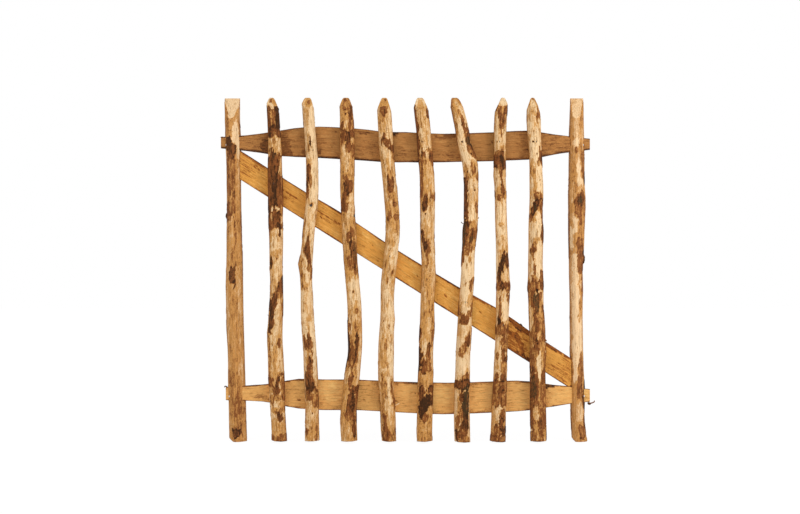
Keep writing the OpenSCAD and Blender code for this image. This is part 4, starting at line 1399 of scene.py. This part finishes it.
PALE_6 = Pale("pale_6", "pale_wood", 36, C, patches(
    (92, -80, 6, 20, O), (97, -10, 1.2, 60, S), (92, 30, 5, 28, R, -5), (87.5, 60, 4, 36, B),
    (86.8, 62, 2.2, 34, G), (84, 75, 1.8, 25, R), (89, -15, 4, 35, W), (83.2, -10, 3, 60, W),
    (79, -60, 2, 20, O), (79, 40, 3, 30, T), (79, 12, 2.2, 10, R), (77, -45, 1.4, 25, O),
    (74.5, -72, 2, 24, B), (70, -80, 6, 22, B), (67, -62, 2.6, 20, B), (64.5, -30, 1.2, 30, B),
    (68, 74, 2, 20, R), (65.5, 25, 3, 30, W), (60, 0, 4, 120, R), (62, -50, 2, 35, B),
    (59.5, 20, 2, 18, G, 6), (59, -78, 5.5, 18, G), (60.5, 60, 1.4, 20, B), (63, 35, 1, 40, O),
    (57.5, 60, 1.5, 30, O), (55.3, 0, 1.6, 50, R), (54, -75, 3.5, 20, B), (50, 0, 3.5, 100, W),
    (45.5, 55, 2, 26, R), (47, 80, 1.4, 14, R), (43, -20, 2, 50, W), (41, 50, 2.2, 40, T),
    (39, -78, 2, 20, R), (37.5, -50, 1.2, 40, R), (37, 50, 1.2, 28, R), (35.3, -15, 1.3, 60, B),
    (31, 60, 1.2, 20, O), (29.4, 50, 1.5, 40, B), (27.8, 15, 1.4, 30, R), (26.2, -30, 1, 45, R),
    (23, 0, 2.8, 110, W), (20.5, 60, 1, 30, S), (19, 45, 1.2, 42, R), (17, 0, 1.4, 120, B),
    (10.6, 44, 6.2, 44, G), (14, -5, 2.8, 22, B), (9, -10, 3, 15, R), (12, -65, 3.5, 18, C),
    (10, -38, 5, 14, O), (5.8, -60, 2.2, 28, R), (2.2, -55, 1.8, 32, D), (4, 20, 2, 55, B),
    (1, 40, 1, 50, O), (91.3, 22, 2.4, 22, B), (84.5, 40, 1.8, 35, R), (86.5, -70, 2, 22, C),
    (65.5, 10, 1.2, 30, W), (53, -84, 1.8, 18, B), (38.5, -40, 1.2, 35, C), (34.5, 75, 1.2, 25, W),
    (28.5, -75, 2.2, 25, W), (25.4, -30, 0.9, 30, R), (5.5, 40, 2.2, 40, D), (77, 80, 1.4, 18, R),
    (69, -35, 2, 16, C), (65.2, -30, 1.2, 20, C), (60.8, 20, 1.4, 20, D), (53, 20, 1, 25, O),
    (38.8, 80, 1.4, 16, R), (1.8, -5, 2, 40, R), (3, -20, 1.4, 25, B), (30.6, 30, 0.8, 20, R)), marks(
    (87, -30, Knot.NAIL, 0.65), (79, 40, Knot.SCAR, 1.2), (46, -20, Knot.DOT), (62, 20, Knot.DOT),
    (83.5, 45, Knot.HOLE, 0.8), (78.3, -45, Knot.HOLE, 0.8), (73, 45, Knot.HOLE, 0.9)), late=patches(
    (97.9, -10, 1.5, 60, T), (98.1, 0, 0.7, 30, S), (96.6, 50, 0.8, 30, C)), tip=O)

PALE_7 = Pale("pale_7", "pale_wood", 37, S, patches(
    (95.1, 15, 2.6, 62, R), (96.8, 0, 1, 120, R), (96, 70, 1.6, 30, B), (92.5, 25, 1.8, 40, R),
    (90, 10, 2, 14, R), (91.5, -55, 2.5, 25, C), (88, 65, 1.8, 20, W), (87.2, -10, 1.4, 50, C),
    (85, 30, 1, 25, O), (82.5, 0, 1.6, 120, R), (81, 0, 1.6, 120, B), (82, 20, 1.2, 22, D),
    (79, -10, 1.2, 60, R), (79.5, 25, 1, 25, B), (77, -60, 2, 30, C), (76, 22, 3, 15, R),
    (76, -30, 1.2, 40, C), (72, 0, 2, 100, O), (70.9, -10, 0.8, 60, R), (72.5, 30, 1, 25, R),
    (63.2, 0, 6.6, 110, C), (64, 50, 5, 25, W), (64, -35, 4.5, 30, W), (56, 10, 1, 15, O),
    (52.8, 5, 2.2, 26, D, 10), (50.8, -15, 1.6, 34, D), (52.5, 65, 2.4, 32, B), (48, -52, 2.8, 30, D),
    (48.2, 40, 2, 30, C), (45.1, 0, 1.2, 120, R), (45.5, 10, 0.8, 60, B), (43, -10, 1.4, 30, C),
    (43, 60, 1.2, 22, R), (41.5, 75, 2, 18, R), (39, -40, 3, 22, R), (35.2, -45, 1.7, 30, K),
    (37, -40, 1.2, 20, B), (38.5, 38, 4, 42, W), (32.7, 0, 1.6, 120, R), (31, 30, 1, 30, B),
    (28, -35, 2.6, 40, C), (28.5, 42, 2.6, 46, R), (25, -52, 1, 28, R), (21, -16, 4, 12, C),
    (21.5, 42, 4.5, 38, R), (25, 45, 1.4, 20, B), (19, 42, 1.2, 14, B), (19, -55, 1.2, 25, R),
    (16, 0, 2.2, 120, R), (15.2, 10, 1.2, 50, B), (12.2, 0, 2, 100, R), (8.2, -15, 2.4, 26, C, 14),
    (7, 50, 3, 36, R), (3, 50, 1.2, 22, K), (3, -20, 1.8, 70, R), (5, 40, 2, 40, B), (1, 0, 1, 100, R),
    (83.5, 82, 2, 20, S), (73.5, 20, 1.4, 35, R), (76.2, 20, 2.5, 16, B), (63, -10, 0.7, 40, O),
    (53.5, -78, 5, 20, W), (37, -35, 1.4, 25, B), (29.2, 0, 1, 40, R), (24.5, 75, 1.4, 22, B),
    (19, 20, 1.4, 35, B), (5, -75, 2, 20, T), (4.5, 75, 1.4, 20, O), (75, -80, 2, 20, C),
    (75, 80, 2, 18, C), (73.2, 20, 1.2, 28, B), (42, -50, 2.2, 30, C), (23.5, -25, 2.2, 18, C),
    (3, 75, 1.4, 22, D), (75.5, -70, 2, 30, C), (75, 75, 2, 25, C), (45, -20, 0.9, 30, B),
    (40.8, -30, 1.4, 20, R), (25.2, 25, 1.2, 20, R)), marks(
    (64, 0, Knot.DOT), (62.7, -10, Knot.DOT), (57.3, 10, Knot.DOT), (74.5, 10, Knot.DOT),
    (87, -50, Knot.DOT)), late=patches(
    (98.8, 10, 1.4, 110, C), (98.9, 10, 1.2, 90, W)), tip=R)

PALE_8 = Pale("pale_8", "pale_wood", 38, C, patches(
    (94.5, -30, 2, 40, S), (94, 45, 2, 14, O), (93, 88, 3, 14, W), (85.5, 10, 5.5, 60, W),
    (83.5, 60, 2.2, 16, R), (81, 60, 1.4, 28, R), (80, -70, 2, 20, O), (77, -40, 2, 26, O),
    (77, 52, 6, 48, W), (74, -25, 2, 25, T), (71.2, -10, 1.4, 35, R), (68.8, 0, 1.8, 60, B),
    (71, 50, 1, 35, O), (67, -42, 2, 32, B), (69, 55, 1.2, 40, B), (67.5, 60, 2, 25, O),
    (68, -10, 1.4, 20, G), (65, -70, 1.2, 16, R), (65, -20, 1, 30, O), (63, 35, 3, 42, W),
    (59.2, 74, 2.2, 20, R), (58.5, 0, 1, 50, T), (56.7, -25, 1.4, 25, R), (55.2, -50, 1.4, 24, B),
    (53.5, -38, 1, 15, R), (54, 40, 4, 50, W), (51, 30, 2, 50, W), (50, -22, 2.2, 18, R),
    (48.5, 75, 1.4, 22, R), (47.2, -25, 1.2, 40, R), (45.2, 0, 1.4, 120, R), (41.5, -60, 2.8, 36, R),
    (43, 65, 1.2, 22, C), (34, 0, 7, 120, R), (40.5, 0, 2.8, 42, M), (41, 55, 2, 20, R),
    (36.5, -72, 3, 20, C), (38, 50, 3, 25, O), (35, -5, 3, 18, B), (31, 10, 1.2, 14, S),
    (29, -10, 1.4, 14, D), (24, 0, 5, 120, R), (27, 50, 2, 30, O), (22.8, 12, 3.6, 24, W),
    (22, 50, 3, 16, T), (15, 0, 5, 120, R), (19, -50, 1.4, 35, B), (19, 65, 1.4, 25, R),
    (15.5, -55, 3.2, 32, M), (15, -10, 2, 20, B), (8, 0, 5, 120, R), (6.5, -22, 4.5, 20, C),
    (11, 75, 2, 14, O), (2, 0, 2, 120, R), (2, 70, 2, 20, T), (96, 72, 2.4, 22, R), (85, -30, 3.5, 60, W),
    (82.2, 72, 2.2, 26, B), (60, 74, 2.2, 24, B), (48.7, 20, 1.4, 22, C), (46.8, 70, 1.2, 25, R),
    (33, 30, 1.4, 20, O), (36.5, -30, 1.4, 20, B), (4, -20, 3, 24, T), (48.7, 20, 2, 26, W),
    (22.2, 16, 4.5, 24, W), (9, -40, 2, 30, S), (91, -70, 2, 25, W), (73, -75, 1.6, 20, S),
    (81, 30, 1.4, 16, R), (66, 80, 3, 16, R), (35, -75, 1.4, 20, T), (18.5, 78, 1.6, 20, B),
    (60.5, 78, 2.6, 25, B), (35, -80, 2.5, 16, C), (73, -80, 1.8, 20, C), (29, -80, 1.4, 20, O),
    (19, 70, 2, 30, B), (45, 75, 1.2, 20, B), (86.5, 20, 2, 30, W)), marks(
    (87, -35, Knot.NAIL), (83.5, 10, Knot.DOT), (72, 20, Knot.DOT), (76, 50, Knot.DOT),
    (43.7, 10, Knot.HOLE, 1.6), (28.5, -5, Knot.NAIL, 0.7)), late=patches(
    (97.7, 0, 1.7, 62, C), (99.6, 0, 0.4, 40, B)), tip=O)

TIMBERS = (LEFT_STILE, RIGHT_STILE, TOP_RAIL, BOTTOM_RAIL, BRACE, PALE_1, PALE_2, PALE_3, PALE_4, PALE_5,
           PALE_6, PALE_7, PALE_8)
DRIVEN_NAILS = ("top_rail_nails", "bottom_rail_nails", "brace_nails")
TENON_NAILS = ("top_left", "top_right", "bottom_left", "bottom_right")
SLIVERS = (
    Sliver("top_left_splinter", [(-947, -26, 351), (-941, -27, 352), (-935, -27, 349)], 1.3, 0.6, 0.55),
    Sliver("bottom_right_lump", [(28, -30, -354), (33, -32, -356), (37, -31, -357)], 3.6, 0.8, 0.9),
    Sliver("bottom_right_twig", [(30, -33, -355), (39, -36, -354), (46, -35, -351), (46, -35, -347)],
           1.7, 0.9, 0.8),
    Sliver("bottom_left_hook", [(-937, -24, -314), (-934, -25, -310), (-928, -25, -312)], 1.5, 0.8, 0.9),
    Sliver("bark_flake_upper", [(-920, -27, 172), (-928, -28, 165), (-925, -28, 158)], 1.9, 0.7, 0.85),
    Sliver("bark_flake_lower", [(-920, -27, 154), (-929, -28, 148), (-930, -28, 138), (-922, -27, 131)],
           3.0, 0.6, 0.95),
    Sliver("right_stile_snag", [(15, -24, 44), (20, -26, 34), (19, -26, 20), (14, -24, 11)], 2.6, 0.7, 0.9),
    Sliver("pale_1_hair", [(-803, -52, -138), (-809, -55, -130), (-819, -56, -118)], 0.7, 0.8, 0.95),
    Sliver("pale_3_nub", [(-596, -50, -203), (-603, -51, -200), (-607, -51, -198)], 2.2, 0.8, 0.9),
    Sliver("pale_4_chip", [(-483, -63, -357), (-476, -69, -354), (-470, -68, -350)], 1.3, 0.5, 0.05),
    Sliver("pale_6_tick", [(-300, -50, 119), (-306, -52, 123), (-309, -52, 126)], 1.0, 0.7, 0.8),
    Sliver("pale_6_twig", [(-269, -52, 131), (-264, -53, 134), (-261, -53, 138)], 1.2, 0.7, 0.6),
    Sliver("brace_nub_high", [(-153, -28, -149), (-149, -29, -145), (-144, -28, -150)], 1.8, 0.8, 0.8),
    Sliver("brace_nub_low", [(-88, -28, -190), (-84, -29, -186), (-79, -28, -191)], 1.8, 0.8, 0.8),
)


@dataclass(frozen=True)
class Leaf:
    """The whole gate leaf: its timbers, nails and slivers."""

    timbers: Sequence[Timber]
    slivers: Sequence[Sliver]

    def build(self) -> None:
        """Builds and dresses every piece of the leaf."""
        wood = WoodGroup()
        material = {grain.name: wood.material(grain) for grain in GRAINS}
        for timber in self.timbers:
            timber.build(material[timber.slot])
        dark = NailSteel("dark_nail", (0.055, 0.042, 0.034), (0.025, 0.018, 0.014), 0.3).material()
        bright = NailSteel("bright_nail", (0.8, 0.8, 0.78), (0.55, 0.55, 0.53), 0.85).material()
        for node in DRIVEN_NAILS:
            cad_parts[node].data.materials.clear()
            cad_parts[node].data.materials.append(dark)
        for corner in TENON_NAILS:
            TenonNail(corner + "_tenon_nail").build(bright)
        for sliver in self.slivers:
            sliver.build(material["stile_wood"])
        LOG.info("the leaf is built")


# ---------------------------------------------------------------- studio

def seen_straight(nodes: Nodes) -> bpy.types.NodeSocket:
    """Tells what the camera sees, also in a mirror, from what only lights the scene.

    Args:
        nodes: The tree that the nodes go into.

    Returns:
        A socket with 1 for the camera and 0 for the rest.
    """
    path = nodes.add("LightPath")
    return nodes.math("MAXIMUM", path.outputs["Is Camera Ray"], path.outputs["Is Glossy Ray"])


@dataclass(frozen=True)
class Studio:
    """White floor and sky, soft lamps, and a level camera in front of the leaf."""

    camera_place: Place = (-0.4693, -3.536, 0.033)
    frame_width: float = 2.12
    distance: float = 3.5
    sensor: float = 36.0
    floor_half: float = 9.0
    floor_gap: float = 0.5 * MM
    aim: Place = (-0.45, 0.0, 0.0)

    def floor(self) -> None:
        """A wide white floor under the feet that the camera sees as white with a faint shadow."""
        level = CAD_BOX[0][2] - self.floor_gap
        half = self.floor_half
        corners = [(-half, -half, level), (half, -half, level), (half, half, level), (-half, half, level)]
        mesh = bpy.data.meshes.new("floor")
        mesh.from_pydata(corners, [], [(0, 1, 2, 3)])
        floor = bpy.data.objects.new("floor", mesh)
        bpy.context.scene.collection.objects.link(floor)
        material, nodes, shader = new_material("studio_floor")
        shader.inputs["Base Color"].default_value = (0.9, 0.9, 0.9, 1.0)
        shader.inputs["Roughness"].default_value = 1.0
        shader.inputs["Specular IOR Level"].default_value = 0.0
        glow = nodes.add("Emission", {"Color": (1.0, 1.0, 1.0, 1.0), "Strength": 0.955})
        veil = nodes.add("BsdfDiffuse", {"Color": (0.08, 0.08, 0.08, 1.0)})
        white = nodes.add("AddShader", {0: glow.outputs[0], 1: veil.outputs[0]})
        both = nodes.add("MixShader", {0: seen_straight(nodes), 1: shader.outputs[0], 2: white.outputs[0]})
        nodes.link(both.outputs[0], material.node_tree.nodes["Material Output"].inputs["Surface"])
        mesh.materials.append(material)

    def sky(self) -> None:
        """A pale sky that lights softly and is white to the camera."""
        world = bpy.data.worlds.new("studio")
        bpy.context.scene.world = world
        world.use_nodes = True
        nodes = Nodes(world.node_tree)
        inputs = {"Value": seen_straight(nodes), "To Min": 0.62, "To Max": 1.0}
        strength = nodes.add("MapRange", inputs).outputs["Result"]
        background = world.node_tree.nodes["Background"]
        background.inputs["Color"].default_value = (1.0, 1.0, 1.0, 1.0)
        nodes.link(strength, background.inputs["Strength"])

    def lamp(self, name: str, place: Place, size: float, power: float) -> None:
        """Adds a square soft lamp that points at the leaf.

        Args:
            name: Name of the lamp.
            place: Where it hangs.
            size: Side of the square in metres.
            power: Watts.
        """
        data = bpy.data.lights.new(name, "AREA")
        data.shape, data.size, data.energy = "SQUARE", size, power
        lamp = bpy.data.objects.new(name, data)
        bpy.context.scene.collection.objects.link(lamp)
        lamp.location = place
        aim = np.subtract(self.aim, place)
        azimuth, rise = math.atan2(aim[1], aim[0]), math.atan2(aim[2], math.hypot(aim[0], aim[1]))
        lamp.rotation_euler = (math.pi / 2 + rise, 0.0, azimuth - math.pi / 2)

    def camera(self) -> None:
        """A level camera whose frame is frame_width wide at the distance of the rails."""
        data = bpy.data.cameras.new("camera")
        data.sensor_width = self.sensor
        data.lens = self.sensor * self.distance / self.frame_width
        camera = bpy.data.objects.new("camera", data)
        bpy.context.scene.collection.objects.link(camera)
        camera.location = self.camera_place
        camera.rotation_euler = (math.pi / 2, 0.0, 0.0)
        bpy.context.scene.camera = camera

    def build(self) -> None:
        """Sets up the whole studio."""
        self.camera()
        self.floor()
        self.sky()
        self.lamp("key", (2.1, -2.3, 1.7), 1.5, 57.0)
        self.lamp("fill", (-2.4, -3.0, 1.4), 1.8, 24.0)
        bpy.context.scene.view_settings.view_transform = "Standard"


def main() -> None:
    """Builds the leaf and the studio."""
    logging.basicConfig(level=logging.INFO, format="%(name)s: %(message)s")
    Leaf(TIMBERS, SLIVERS).build()
    Studio().build()


if __name__ == "__main__":
    main()
